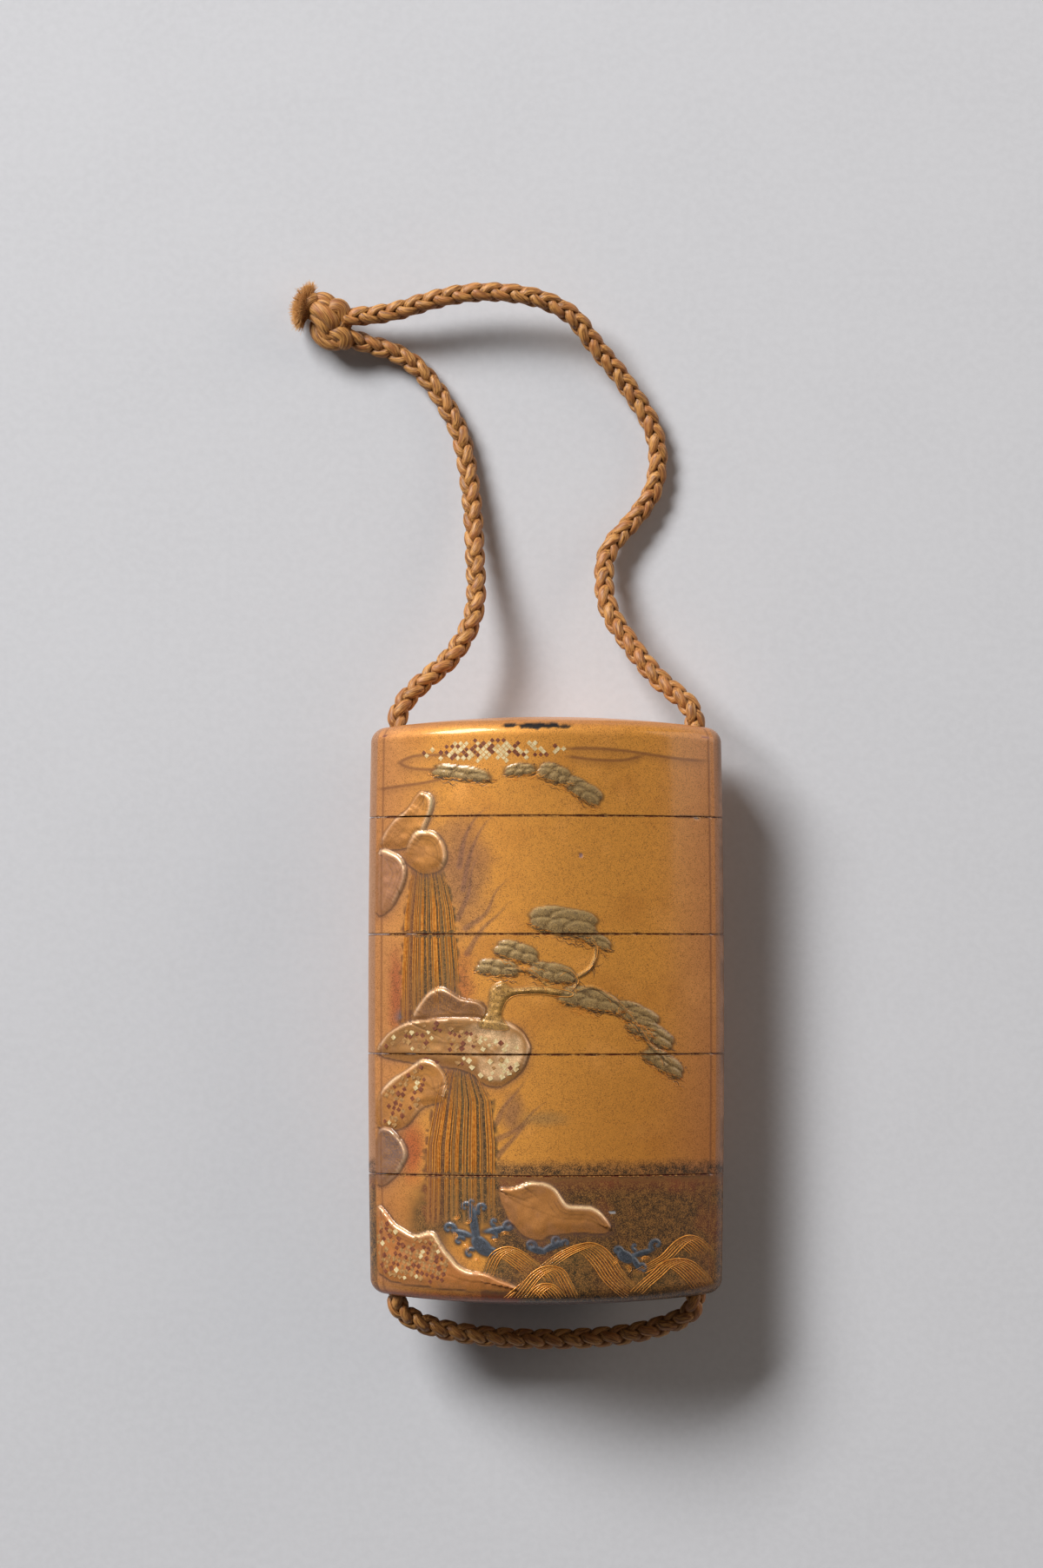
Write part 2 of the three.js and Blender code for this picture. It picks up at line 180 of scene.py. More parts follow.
# ---- The silk cord --------------------------------------------------------------------------------------

CORD_DIAMETER = 2.9
Z = REST_HEIGHT
LEFT_STRAND = [
    [-28.7, 102.2, 2.6],
    [-26.8, 101.6, 2.2],
    [-23.7, 100.7, 1.8],
    [-20.5, 98.9, 1.6],
    [-17.6, 95.9, 1.5],
    [-15.1, 92.1, 1.5],
    [-13.1, 87.9, 1.6],
    [-12.2, 84.0, 1.8],
    [-11.5, 79.2, 2.4],
    [-11.0, 73.8, 3.3],
    [-10.8, 69.1, 4.5],
    [-10.6, 64.2, 5.9],
    [-10.8, 60.8, 7.0],
    [-12.1, 56.9, 8.1],
    [-15.0, 52.6, 9.5],
    [-18.6, 49.4, 10.6],
    [-21.4, 46.3, 11.3],
    [-22.3, 44.2, Z],
]
BASE_LOOP = [
    [-22.3, -43.9, Z],
    [-21.4, -45.4, 11.1],
    [-19.1, -46.8, 10.3],
    [-15.6, -48.0, 9.3],
    [-10.9, -48.9, 8.4],
    [-4.4, -49.5, 7.8],
    [1.8, -49.6, 7.5],
    [8.1, -49.3, 7.8],
    [13.3, -48.6, 8.5],
    [17.9, -47.3, 9.6],
    [21.2, -45.7, 10.9],
    [22.3, -43.9, Z],
]
RIGHT_STRAND = [
    [22.3, 44.2, Z],
    [21.4, 46.0, 11.4],
    [19.5, 47.8, 10.6],
    [16.9, 50.1, 9.6],
    [14.2, 53.4, 8.2],
    [11.9, 56.7, 6.9],
    [10.1, 59.6, 5.8],
    [9.1, 62.5, 4.9],
    [8.9, 65.8, 3.9],
    [9.1, 68.7, 3.0],
    [10.3, 71.2, 2.4],
    [12.4, 73.6, 2.0],
    [14.7, 76.4, 1.7],
    [16.4, 79.4, 1.55],
    [17.1, 82.7, 1.5],
    [17.1, 85.6, 1.5],
    [16.5, 88.4, 1.6],
    [15.2, 91.2, 1.8],
    [13.4, 93.9, 2.1],
    [11.4, 96.8, 2.6],
    [9.0, 99.6, 3.4],
    [6.7, 102.4, 4.4],
    [4.3, 105.4, 5.4],
    [0.5, 107.6, 6.2],
    [-3.7, 108.7, 6.7],
    [-8.5, 109.1, 6.8],
    [-13.1, 108.8, 6.5],
    [-17.9, 107.8, 5.9],
    [-22.1, 106.6, 5.2],
    [-26.0, 105.9, 4.6],
    [-28.9, 105.7, 4.3],
]
CHANNEL_STOPS = [40, 20, 0, -20, -40]
ROUTE_STEP = 0.1

# The braid: eight strands, four each way, every one over two and under two.
BRAID_PITCH = 11.8
BRAID_DWELL = 0.13  # how much each strand straightens where it lies on top
STRANDS_EACH_WAY = 4
STRAND_RADIUS = 0.69
STRAND_WAVE = 0.38
STRAND_HALF_WIDTH = 0.76
STRAND_HALF_THICKNESS = 0.53
STRAND_SIDES = 10
STRAND_STEP = 0.34


def centripetal(points, per_span=24):
    """A centripetal Catmull-Rom curve through the points, and the sample number of each point."""
    p = np.asarray(points, float)
    p = np.vstack([2 * p[0] - p[1], p, 2 * p[-1] - p[-2]])
    out = []
    t = np.linspace(0, 1, per_span, endpoint=False)[:, None]
    for a, b, c, d in zip(p, p[1:], p[2:], p[3:]):
        ab, bc, cd = (max(np.linalg.norm(v), 1e-6) ** 0.5 for v in (b - a, c - b, d - c))
        from_b = ((b - a) / ab - (c - a) / (ab + bc) + (c - b) / bc) * bc
        from_c = ((c - b) / bc - (d - b) / (bc + cd) + (d - c) / cd) * bc
        curve = b + from_b * t + (3 * (c - b) - 2 * from_b - from_c) * t**2
        out.append(curve + (2 * (b - c) + from_b + from_c) * t**3)
    return np.vstack([*out, p[-2:-1]]), per_span


class Route:
    """A line resampled evenly, with a frame that doesn't twist; `at` reads it at any distance."""

    def __init__(self, line, up=(0, 0, 1)):
        line = np.asarray(line, float)
        along = np.concatenate([[0], np.cumsum(np.linalg.norm(np.diff(line, axis=0), axis=1))])
        self.length = along[-1]
        count = max(8, int(self.length / ROUTE_STEP))
        self.distance = np.linspace(0, self.length, count)
        self.centre = np.stack([np.interp(self.distance, along, line[:, k]) for k in range(3)], 1)
        tangent = np.gradient(self.centre, axis=0)
        self.tangent = tangent / np.linalg.norm(tangent, axis=1)[:, None]
        side = np.cross(self.tangent[0], up)
        side /= np.linalg.norm(side)
        sides = [side]
        for direction in self.tangent[1:]:
            side = side - direction * (side @ direction)
            side = side / np.linalg.norm(side)
            sides.append(side)
        self.side = np.array(sides)
        self.up = np.cross(self.side, self.tangent)

    def at(self, distance, angle, radius):
        """Points at an angle and a radius about the line; past the ends it runs on straight."""
        held = np.clip(distance, 0, self.length)

        def read(rows):
            return np.stack([np.interp(held, self.distance, rows[:, k]) for k in range(3)], -1)

        over = (distance - held)[..., None] * read(self.tangent)
        turn = read(self.side) * np.cos(angle)[..., None] + read(self.up) * np.sin(angle)[..., None]
        turn /= np.maximum(np.linalg.norm(turn, axis=-1), 1e-9)[..., None]
        return read(self.centre) + over + turn * radius[..., None]


def tube_faces(rings, sides, first_point):
    """Quads round a tube, and a triangle fan onto the end points that follow its rings."""
    quads = strip_faces(rings, sides) + first_point
    ring = np.arange(sides)
    after = (ring + 1) % sides
    first_middle = first_point + rings * sides
    last = first_point + (rings - 1) * sides
    start = np.stack([after + first_point, ring + first_point, np.full(sides, first_middle)], 1)
    stop = np.stack([ring + last, after + last, np.full(sides, first_middle + 1)], 1)
    return quads, np.vstack([start, stop])


class Soup:
    """Gathers tubes and other closed shells into one mesh, each point with its place along a fibre."""

    def __init__(self):
        self.points, self.fibres, self.quads, self.triangles, self.count = [], [], [], [], 0

    def add_tube(self, rings, fibres):
        """rings and fibres: arrays of (rings, sides, 3)."""
        amount, sides = rings.shape[:2]
        quads, triangles = tube_faces(amount, sides, self.count)
        for store, rows in ((self.points, rings), (self.fibres, fibres)):
            store.append(rows.reshape(-1, 3))
            store.append(np.stack([rows[0].mean(0), rows[-1].mean(0)]))
        self.quads.append(quads)
        self.triangles.append(triangles)
        self.count += amount * sides + 2

    def mesh(self, name):
        quads = np.vstack(self.quads)
        halves = np.vstack([quads[:, [0, 1, 2]], quads[:, [0, 2, 3]]])
        mesh = mesh_from_arrays(name, np.vstack(self.points), np.vstack([halves, *self.triangles]))
        fibre = mesh.attributes.new("fibre", "FLOAT_VECTOR", "POINT")
        fibre.data.foreach_set("vector", np.vstack(self.fibres).astype(np.float32).ravel())
        return mesh


def add_strand(soup, route, start, stop, way, number, scale=1.0):
    """One strand of the braid between two distances along a route."""
    wind = 2 * math.pi / BRAID_PITCH
    rings = max(4, int((stop - start) / STRAND_STEP))
    s = np.linspace(start, stop, rings)[:, None]
    around = np.linspace(0, 2 * math.pi, STRAND_SIDES, endpoint=False)[None, :] * way
    phase = 2 * wind * s + way * math.pi / 4 + number * math.pi
    height = np.tanh(1.6 * np.sin(phase)) / math.tanh(1.6)
    centre_radius = (STRAND_RADIUS + STRAND_WAVE * height) * scale
    slope = math.atan(wind * STRAND_RADIUS)
    across = STRAND_HALF_WIDTH * (0.88 + 0.16 * height) * np.cos(around) * scale
    outward = STRAND_HALF_THICKNESS * np.sin(around) * scale
    turn = number * math.pi / 2 + way * (wind * s + BRAID_DWELL * np.sin(2 * phase))
    angle = turn + across * math.cos(slope) / np.maximum(centre_radius, 0.45)
    distance = s - way * across * math.sin(slope)
    rings_at = route.at(distance, angle, centre_radius + outward)
    rings_at[..., 2] = np.maximum(rings_at[..., 2], 0.0)
    along = s + 41.0 * number + 170.0 * (way > 0) + 0 * across
    # The fibre's second value sets how pale the silk is painted; the wave adds painted shade where a strand
    # dives under the others.
    fibres = np.stack([across + 0 * s, outward + 0.3 * height, along], -1)
    soup.add_tube(rings_at, fibres)


def add_braid(soup, route, start, stop, scale=1.0):
    for way in (-1, 1):
        for number in range(STRANDS_EACH_WAY):
            add_strand(soup, route, start, stop, way, number, scale)


def channel_run(side):
    return [[side * CHANNEL_X, -side * y, Z] for y in CHANNEL_STOPS]


def cord_route():
    """The whole cord, and the distances at which its strands, channel runs and base loop meet."""
    runs = [LEFT_STRAND, channel_run(-1), BASE_LOOP, channel_run(1), RIGHT_STRAND]
    line, per_span = centripetal([point for run in runs for point in run])
    along = np.concatenate([[0], np.cumsum(np.linalg.norm(np.diff(line, axis=0), axis=1))])
    first = len(LEFT_STRAND)
    second = first + len(CHANNEL_STOPS) + len(BASE_LOOP)
    stops = [first, first + len(CHANNEL_STOPS) - 1, second, second + len(CHANNEL_STOPS) - 1]
    meets = [0.0, *(along[stop * per_span] for stop in stops), along[-1]]
    return Route(line), meets


# ---- The knot: overlapping lobes of flattened cord and a brush of cut ends -------------------------------

KNOT = np.array([-32.6, 104.6, 3.45])
KNOT_TUCK = 1.9  # how far the strands run on inside the knot
KNOT_CORE = (2.5, 2.2, 1.7)
KNOT_CORE_TURN = -0.7
LOBE_RINGS = 44
LOBE_SIDES = 56
# Each lobe: its half width, how flat it is, its painted light and shade (lighter for lobes on top, darker
# for those in shade) and the points of its line from the knot's centre.
KNOT_LOBES = [
    (0.95, 0.85, 0.12, [(-4.3, 1.5, 0.6), (-3.9, 2.7, 1.3), (-3.1, 3.6, 1.4), (-2.2, 4.1, 0.8)]),
    (1.18, 0.80, 0.12, [
        (-3.4, 2.7, 0.8), (-2.2, 2.1, 1.7), (-1.0, 1.3, 2.0),
        (0.0, 0.3, 1.7), (0.4, -0.9, 0.7),
    ]),
    (0.90, 0.90, 0.00, [(-3.6, 1.5, 0.2), (-2.6, 1.0, 0.9), (-1.4, -0.2, 1.1), (-0.4, -1.6, 0.5)]),
    (0.95, 0.90, -0.02, [(-2.9, 3.4, 0.2), (-1.7, 3.9, 0.9), (-0.6, 3.6, 1.0), (0.3, 2.6, 0.6)]),
    (0.70, 0.90, 0.00, [(-2.6, 2.8, 1.1), (-1.3, 3.0, 1.6), (-0.3, 2.6, 1.6), (0.4, 1.8, 1.1)]),
    (1.35, 0.85, -0.06, [
        (-0.4, 1.3, 0.9), (0.2, 2.3, 1.3), (1.1, 2.4, 1.3),
        (1.7, 1.4, 0.9), (1.8, 0.2, 0.3), (1.6, -1.0, -0.7),
    ]),
    (1.10, 0.90, -0.06, [
        (-2.6, 1.0, -0.5), (-2.4, -1.0, -0.4), (-1.7, -2.1, -0.2),
        (-0.7, -2.8, -0.1), (0.7, -3.0, -0.1), (2.0, -2.8, -0.4),
    ]),
    (0.90, 0.90, -0.14, [(-1.9, 0.9, 0.4), (-1.5, -0.9, 0.4), (-0.9, -1.8, 0.3), (0.2, -2.4, 0.2)]),
    (1.28, 0.85, 0.00, [
        (-0.3, -1.4, 0.1), (0.8, -1.4, 0.9), (1.7, -1.9, 0.8),
        (1.9, -2.7, 0.4), (1.7, -3.5, -0.6),
    ]),
    (0.70, 0.80, 0.04, [(1.6, 0.9, 0.6), (1.3, -0.3, 1.2), (0.7, -1.1, 1.0)]),
    (1.10, 1.00, -0.14, [(-1.2, 0.6, -1.6), (0.4, -0.6, -2.0), (1.8, -1.6, -1.6)]),
]
LOBE_RIDGES = 13
LOBE_RIDGE = 0.018
LOBE_TWIST = 0.35

BRUSH_ROOT = np.array([-3.1, 2.4, 0.1])
BRUSH_AXIS = 2.84  # radians from +X, seen from above
BRUSH_BRISTLES = 3200
BRUSH_STEPS = 6
BRUSH_SPREAD = 1.2
BRUSH_LENGTH = (2.2, 3.0)
BRUSH_ROOT_RADIUS = 1.5
BRISTLE_RADIUS = 0.048


def add_lobe(soup, half_width, flatness, painted_light_shift, points):
    """A bundle of fibres along a line, rounded at both ends and finely ridged along its length."""
    route = Route(centripetal(np.array(points) + KNOT)[0])
    share = np.linspace(0, 1, LOBE_RINGS)[:, None]
    around = np.linspace(0, 2 * math.pi, LOBE_SIDES, endpoint=False)[None, :]
    distance = share * route.length
    ridge = np.cos(LOBE_RIDGES * (around + LOBE_TWIST * distance))
    swell = (1 - np.abs(2 * share - 1) ** 5) ** 0.5
    radius = half_width * np.maximum(swell, 0.12) * (1 + LOBE_RIDGE * ridge)
    oval = np.sqrt(np.cos(around) ** 2 + (flatness * np.sin(around)) ** 2)
    rings = route.at(distance + 0 * around, around + 0 * share, radius * oval)
    # Painted light and shade: each lobe's silk is lighter or darker as it lies, and darker towards its ends
    # where it dives into the knot.
    low = 0.05 * ridge + 1.5 * painted_light_shift + 0.66 * swell
    along = distance + 31.0 * len(soup.points) + 0 * around
    across = (around + LOBE_TWIST * distance) * half_width
    soup.add_tube(rings, np.stack([across, low + 0 * around, along], -1))


def brush_guide():
    """Guide lines of the bristles: a tuft of frayed silk that opens out flat from where it is bound."""
    rng = np.random.default_rng(31)
    axis = np.array([math.cos(BRUSH_AXIS), math.sin(BRUSH_AXIS), 0.0])
    side = np.array([-axis[1], axis[0], 0.0])
    points, edges, thick, fibre = [], [], [], []
    steps = BRUSH_STEPS
    for number in range(BRUSH_BRISTLES):
        around = rng.uniform(0, 2 * math.pi)
        out = math.sqrt(rng.random())
        across, above = math.cos(around) * out, math.sin(around) * out
        lean = BRUSH_SPREAD * across + rng.normal(0, 0.07)
        rise = 0.75 * above + rng.normal(0, 0.05)
        level = axis * math.cos(lean) + side * math.sin(lean)
        heading = level * math.cos(rise) + np.array([0, 0, math.sin(rise)])
        start = BRUSH_ROOT + BRUSH_ROOT_RADIUS * (across * side * 0.9 + above * np.array([0, 0, 1.0]))
        long = rng.uniform(*BRUSH_LENGTH) * (1 - 0.12 * out**4)
        t = np.linspace(0, 1, steps)[:, None]
        bend = rng.normal(0, 0.3, 3) * t**2
        ahead = axis * long * 0.35 * t * (1 - t)
        line = start + KNOT + heading * long * t + ahead + bend
        line[:, 2] = np.maximum(line[:, 2], BRISTLE_RADIUS)
        points.append(line)
        thick.append(BRISTLE_RADIUS * (1 - 0.55 * t[:, 0]) * MM)
        share = t[:, 0]
        along = share * long + number * 7.0
        fibre.append(np.stack([0 * share + number * 0.37, 0.5 + 0.7 * share, along], 1))
        edges.extend((number * steps + k, number * steps + k + 1) for k in range(steps - 1))
    thick, fibre = np.concatenate(thick), np.vstack(fibre)
    return guide_mesh("bristles", np.vstack(points), edges, thick=thick, fibre=fibre)


def ellipsoid_rings(centre, radii, turn_z, rings=14, sides=20):
    polar = np.linspace(0.05, math.pi - 0.05, rings)[:, None]
    around = np.linspace(0, 2 * math.pi, sides, endpoint=False)[None, :]
    x = radii[0] * np.sin(polar) * np.cos(around)
    y = radii[1] * np.sin(polar) * np.sin(around)
    z = -radii[2] * np.cos(polar) + 0 * around
    cosine, sine = math.cos(turn_z), math.sin(turn_z)
    return np.stack([x * cosine - y * sine, x * sine + y * cosine, z], -1) + KNOT + centre


# ---- Noise and outlines ---------------------------------------------------------------------------------


def fade(value, low, high):
    share = np.clip((value - low) / (high - low), 0, 1)
    return share * share * (3 - 2 * share)


def smooth_noise(x, y, size, seed):
    """Value noise from -1 to 1, in cells of `size` millimetres."""
    u, v = x / size + 37.7 * seed, y / size - 19.3 * seed
    i, j = np.floor(u), np.floor(v)

    def corner(right, up):
        value = np.sin((i + right) * 127.1 + (j + up) * 311.7 + seed * 74.7) * 43758.5453
        return 2 * (value - np.floor(value)) - 1

    fu, fv = fade(u - i, 0, 1), fade(v - j, 0, 1)
    low = corner(0, 0) * (1 - fu) + corner(1, 0) * fu
    high = corner(0, 1) * (1 - fu) + corner(1, 1) * fu
    return low * (1 - fv) + high * fv


def clouds(x, y, size, seed, octaves=3):
    total, weight = 0, 0
    for octave in range(octaves):
        total = total + smooth_noise(x, y, size / 2**octave, seed + octave) / 2**octave
        weight += 1 / 2**octave
    return total / weight


def smooth_loop(points, per_span=5):
    """A closed Catmull-Rom outline through a few points."""
    p = np.asarray(points, float)
    t = np.linspace(0, 1, per_span, endpoint=False)[:, None]
    before, after, later = np.roll(p, 1, 0), np.roll(p, -1, 0), np.roll(p, -2, 0)
    spans = []
    for a, b, c, d in zip(before, p, after, later):
        curve = 2 * b + (c - a) * t + (2 * a - 5 * b + 4 * c - d) * t**2
        spans.append((curve + (3 * b - a - 3 * c + d) * t**3) / 2)
    return np.vstack(spans)


def depth_inside(x, y, outline, reach=4.0):
    """How far each point is inside a closed outline (negative outside), and the way out there."""
    depth = np.full(x.shape, -reach)
    out_x, out_y = np.zeros(x.shape), np.zeros(x.shape)
    low, high = outline.min(0) - reach, outline.max(0) + reach
    near = (x > low[0]) & (x < high[0]) & (y > low[1]) & (y < high[1])
    if not near.any():
        return depth, out_x, out_y
    px, py = x[near], y[near]
    best = np.full(px.shape, np.inf)
    nx, ny, crossings = np.zeros(px.shape), np.zeros(px.shape), np.zeros(px.shape, int)
    following = np.roll(outline, -1, 0)
    turning = np.sign(np.sum(outline[:, 0] * following[:, 1] - outline[:, 1] * following[:, 0]))
    for (ax, ay), (bx, by) in zip(outline, following):
        dx, dy = bx - ax, by - ay
        long = math.hypot(dx, dy) + 1e-12
        t = np.clip(((px - ax) * dx + (py - ay) * dy) / long**2, 0, 1)
        away = np.hypot(px - ax - t * dx, py - ay - t * dy)
        closer = away < best
        best = np.where(closer, away, best)
        nx = np.where(closer, turning * dy / long, nx)
        ny = np.where(closer, -turning * dx / long, ny)
        if ay != by:
            spans = (ay > py) != (by > py)
            crossings += spans & (px < ax + (py - ay) * dx / (by - ay))
    inside = crossings % 2 == 1
    depth[near] = np.maximum(np.where(inside, best, -best), -reach)
    out_x[near], out_y[near] = nx, ny
    return depth, out_x, out_y


def distance_to_line(x, y, line, reach=3.0):
    """Distance from an open line, and how far along it (0 to 1) the nearest place lies."""
    line = np.asarray(line, float)
    away, share = np.full(x.shape, reach), np.zeros(x.shape)
    low, high = line.min(0) - reach, line.max(0) + reach
    near = (x > low[0]) & (x < high[0]) & (y > low[1]) & (y < high[1])
    px, py = x[near], y[near]
    best, best_share = np.full(px.shape, reach), np.zeros(px.shape)
    for number, ((ax, ay), (bx, by)) in enumerate(zip(line, line[1:])):
        dx, dy = bx - ax, by - ay
        t = np.clip(((px - ax) * dx + (py - ay) * dy) / (dx * dx + dy * dy + 1e-12), 0, 1)
        d = np.hypot(px - ax - t * dx, py - ay - t * dy)
        closer = d < best
        best = np.where(closer, d, best)
        best_share = np.where(closer, (number + t) / (len(line) - 1), best_share)
    away[near], share[near] = best, best_share
    return away, share


def through(points, per_span=6):
    """An open smooth line through a few picture points."""
    flat = [[x, y, 0] for x, y in points]
    return centripetal(flat, per_span)[0][:, :2]


# ---- The picture: what stands where ---------------------------------------------------------------------


def named_rows(fields, rows):
    return [dict(zip(fields.split(), row)) for row in rows]


# The outline of each rock, the farthest first.
ROCKS = {
    "high_peak": [
        [-25.0, 24.2], [-23.4, 28.0], [-20.7, 30.3], [-18.9, 32.7],
        [-16.9, 31.4], [-17.6, 28.2], [-20.0, 24.6],
    ],
    "high_boulder": [
        [-19.8, 26.4], [-17.0, 26.6], [-15.2, 24.8], [-14.8, 22.4], [-16.4, 20.6],
        [-19.2, 20.6], [-21.2, 22.8],
    ],
    "edge_boulder": [
        [-25.4, 23.4], [-22.4, 23.4], [-20.9, 20.8],
        [-21.4, 18.4], [-23.0, 15.6], [-25.4, 14.6],
    ],
    "middle_peak": [
        [-19.8, -2.0], [-18.4, 1.6], [-15.6, 3.5], [-12.6, 1.9],
        [-9.8, 1.3], [-8.8, -1.2], [-12.0, -3.0],
    ],
    "ledge": [
        [-25.2, -6.6], [-22.6, -2.7], [-18.4, -1.4], [-11.6, -1.1], [-5.4, -1.9], [-2.5, -4.8],
        [-3.2, -8.2], [-6.0, -10.9], [-8.8, -11.1], [-12.0, -8.9], [-17.0, -8.2],
    ],
    "fall_boulder": [
        [-25.0, -12.4], [-21.0, -8.9], [-17.8, -7.3], [-15.0, -9.3], [-14.9, -13.1], [-18.2, -14.4],
        [-21.6, -17.6], [-25.2, -17.4],
    ],
    "low_boulder": [
        [-25.4, -18.4], [-23.2, -17.7], [-21.2, -20.0],
        [-20.9, -22.2], [-22.6, -24.8], [-25.4, -26.0],
    ],
    "sea_rock": [
        [-5.9, -30.4], [-7.0, -27.6], [-6.9, -26.2], [-4.7, -26.0], [-2.4, -25.3],
        [-0.2, -25.4], [1.5, -26.3],
        [2.4, -27.8], [3.4, -28.7], [6.3, -28.8], [8.1, -29.7], [9.4, -31.3], [9.7, -32.3], [8.6, -33.0],
        [5.3, -32.9], [0.8, -33.1], [-0.8, -33.9], [-3.1, -33.4], [-4.7, -31.8],
    ],
    "shore": [
        [-25.4, -29.4], [-22.4, -32.0], [-19.6, -33.2], [-16.8, -33.0], [-14.6, -36.0], [-12.2, -38.3],
        [-8.6, -39.0], [-4.4, -41.3], [-14.0, -41.2], [-25.2, -39.4],
    ],
}
PINE_CLUMPS = named_rows("x y long tall lean", [
    (6.9, 10.7, 3.7, 1.2, -24),
    (2.4, 12.8, 5.4, 2.2, -10),
    (-4.2, 8.6, 3.9, 1.7, -12),
    (-7.2, 6.3, 3.7, 1.5, -4),
    (0.7, 5.6, 4.1, 1.6, -12),
    (13.2, -0.8, 3.8, 1.5, -24),
    (6.8, 1.5, 5.4, 1.9, -10),
    (15.6, -3.6, 4.1, 1.5, -26),
    (17.6, -7.8, 4.0, 1.6, -30),
    (-12.6, 35.2, 5.2, 1.3, -6),
    (-3.8, 35.6, 2.6, 1.0, 6),
    (1.4, 35.0, 3.0, 1.6, -14),
    (5.3, 32.5, 3.3, 1.4, -34),
])
PUFF_LENGTH = 1.8
TRUNK = [
    [-9.9, -2.4], [-8.6, 0.4], [-8.4, 3.0], [-6.6, 4.4], [-4.9, 3.4], [-1.0, 3.6],
    [3.6, 2.8], [3.2, 2.0], [-1.4, 2.4], [-5.4, 1.9], [-6.6, -0.8], [-5.6, -2.8],
]
BRANCHES = [
    [[3.2, 2.4], [4.6, 4.2], [3.4, 5.8], [1.2, 6.4]],
    [[1.0, 3.0], [-0.8, 4.6], [-2.6, 5.8], [-6.0, 6.2]],
    [[4.0, 4.6], [6.6, 6.4], [7.4, 9.2], [5.6, 11.8]],
    [[3.4, 2.5], [6.8, 3.4], [9.6, 1.8], [12.6, -0.6]],
    [[11.0, 0.6], [13.6, -2.4], [15.6, -5.4], [18.6, -8.0]],
]
ROCK_RELIEF = 0.4
PINE_RELIEF = 0.2
TRUNK_RELIEF = 0.35

FALL_BUNDLES = 12
# The falls: the left and right edge of each sheet of water, from its lip to its foot.
FALLS = [
    {"left": [[-20.2, 20.6], [-21.2, 14.0], [-21.6, 6.0], [-21.8, -2.6]],
     "right": [[-15.2, 20.4], [-13.8, 15.0], [-13.0, 7.0], [-12.6, 1.2]]},
    {"left": [[-14.9, -8.6], [-16.6, -13.0], [-18.0, -20.0], [-18.4, -31.6]],
     "right": [[-10.0, -9.4], [-8.0, -13.4], [-7.4, -20.0], [-7.3, -31.4]]},
]

SEA_LEVEL = -22.5
SEA_LEFT = -7.6
# The swells, the nearest last: the crest of each, from left to right.
SWELLS = [
    [
        [13.0, -38.6], [17.2, -36.4], [18.4, -35.2], [19.7, -34.1],
        [21.4, -33.5], [23.2, -34.0], [25.6, -36.0],
    ],
    [
        [-9.9, -39.4], [-8.4, -36.1], [-6.9, -35.1], [-5.5, -34.9],
        [-3.7, -35.5], [-1.8, -36.8], [0.4, -38.6], [2.4, -41.0],
    ],
    [
        [-6.4, -42.4], [-4.7, -41.0], [-2.4, -39.0], [-0.2, -37.1], [2.1, -35.6], [4.3, -34.7], [6.6, -34.3],
        [8.5, -35.0], [10.2, -36.7], [11.8, -39.0], [13.7, -40.8], [16.0, -42.4],
    ],
    [
        [12.6, -41.6], [14.0, -40.3], [15.6, -39.0], [17.5, -37.4],
        [19.8, -36.9], [22.0, -37.4], [24.0, -39.0], [25.6, -40.8],
    ],
    [
        [-5.6, -42.6], [-4.3, -41.2], [-2.4, -38.9], [-0.8, -37.9],
        [0.8, -37.7], [2.6, -38.3], [3.7, -40.0], [4.9, -42.4],
    ],
    [[-3.6, -43.0], [-2.0, -41.0], [-0.6, -40.3], [0.9, -40.4], [2.2, -41.3], [3.4, -43.0]],
]
RIPPLES = ((0.42, 0.1, 8), (-0.42, 0.1, 4))  # the shift and drop of each line on a swell, and how many
# Foam: each curl starts somewhere and winds up; size is its reach.
FOAM_CURLS = named_rows("x y size from turn thick", [
    (-12.1, -29.2, 1.9, -30, 280, 0.62),
    (-9.5, -29.3, 1.8, 215, -280, 0.6),
    (-11.0, -28.4, 1.2, 250, -260, 0.45),
    (-7.7, -31.2, 1.2, 250, -260, 0.45),
    (-5.5, -31.8, 1.6, 200, -280, 0.6),
    (-7.9, -33.4, 1.2, 90, -250, 0.45),
    (-14.6, -32.4, 1.8, 10, 280, 0.6),
    (-13.0, -34.2, 1.5, 40, 260, 0.5),
    (-11.4, -36.0, 1.6, 60, 260, 0.5),
    (-8.0, -35.8, 1.3, 130, -250, 0.45),
    (-2.4, -34.7, 1.5, 0, 290, 0.55),
    (1.6, -33.9, 1.5, 235, -280, 0.55),
    (2.9, -34.4, 1.3, 190, -270, 0.45),
    (10.6, -35.6, 1.4, 0, 280, 0.55),
    (16.5, -34.8, 1.9, 210, -300, 0.6),
    (14.4, -38.3, 1.5, 130, -270, 0.5),
    (13.3, -34.9, 1.1, 270, -250, 0.4),
])
FOAM_BODIES = named_rows("x y long tall lean", [
    (-10.8, -31.6, 2.9, 0.62, -80),
    (-9.6, -34.8, 1.9, 1.1, -42),
    (-7.2, -32.4, 2.3, 0.5, 8),
    (-12.8, -32.9, 1.8, 0.45, -14),
    (-1.5, -35.3, 1.5, 0.52, -12),
    (0.9, -34.8, 1.9, 0.5, 24),
    (11.8, -36.4, 1.4, 0.85, -30),
    (14.3, -35.9, 2.2, 0.42, 15),
    (13.4, -37.3, 1.3, 0.45, -60),
])
# Fingers of spray beside the foam: where each small fan of nested gold arcs curls, and which way it opens.
FOAM_FINGERS = [
    (-14.0, -33.4, 200), (-12.3, -35.2, 220), (-10.6, -37.2, 240), (-11.9, -31.0, 160), (-13.6, -30.4, 150),
    (-7.6, -34.3, 320), (-6.2, -33.2, 300), (14.9, -37.0, 300), (12.0, -38.3, 230), (9.9, -37.0, 200),
]
FOAM_RELIEF = 0.12

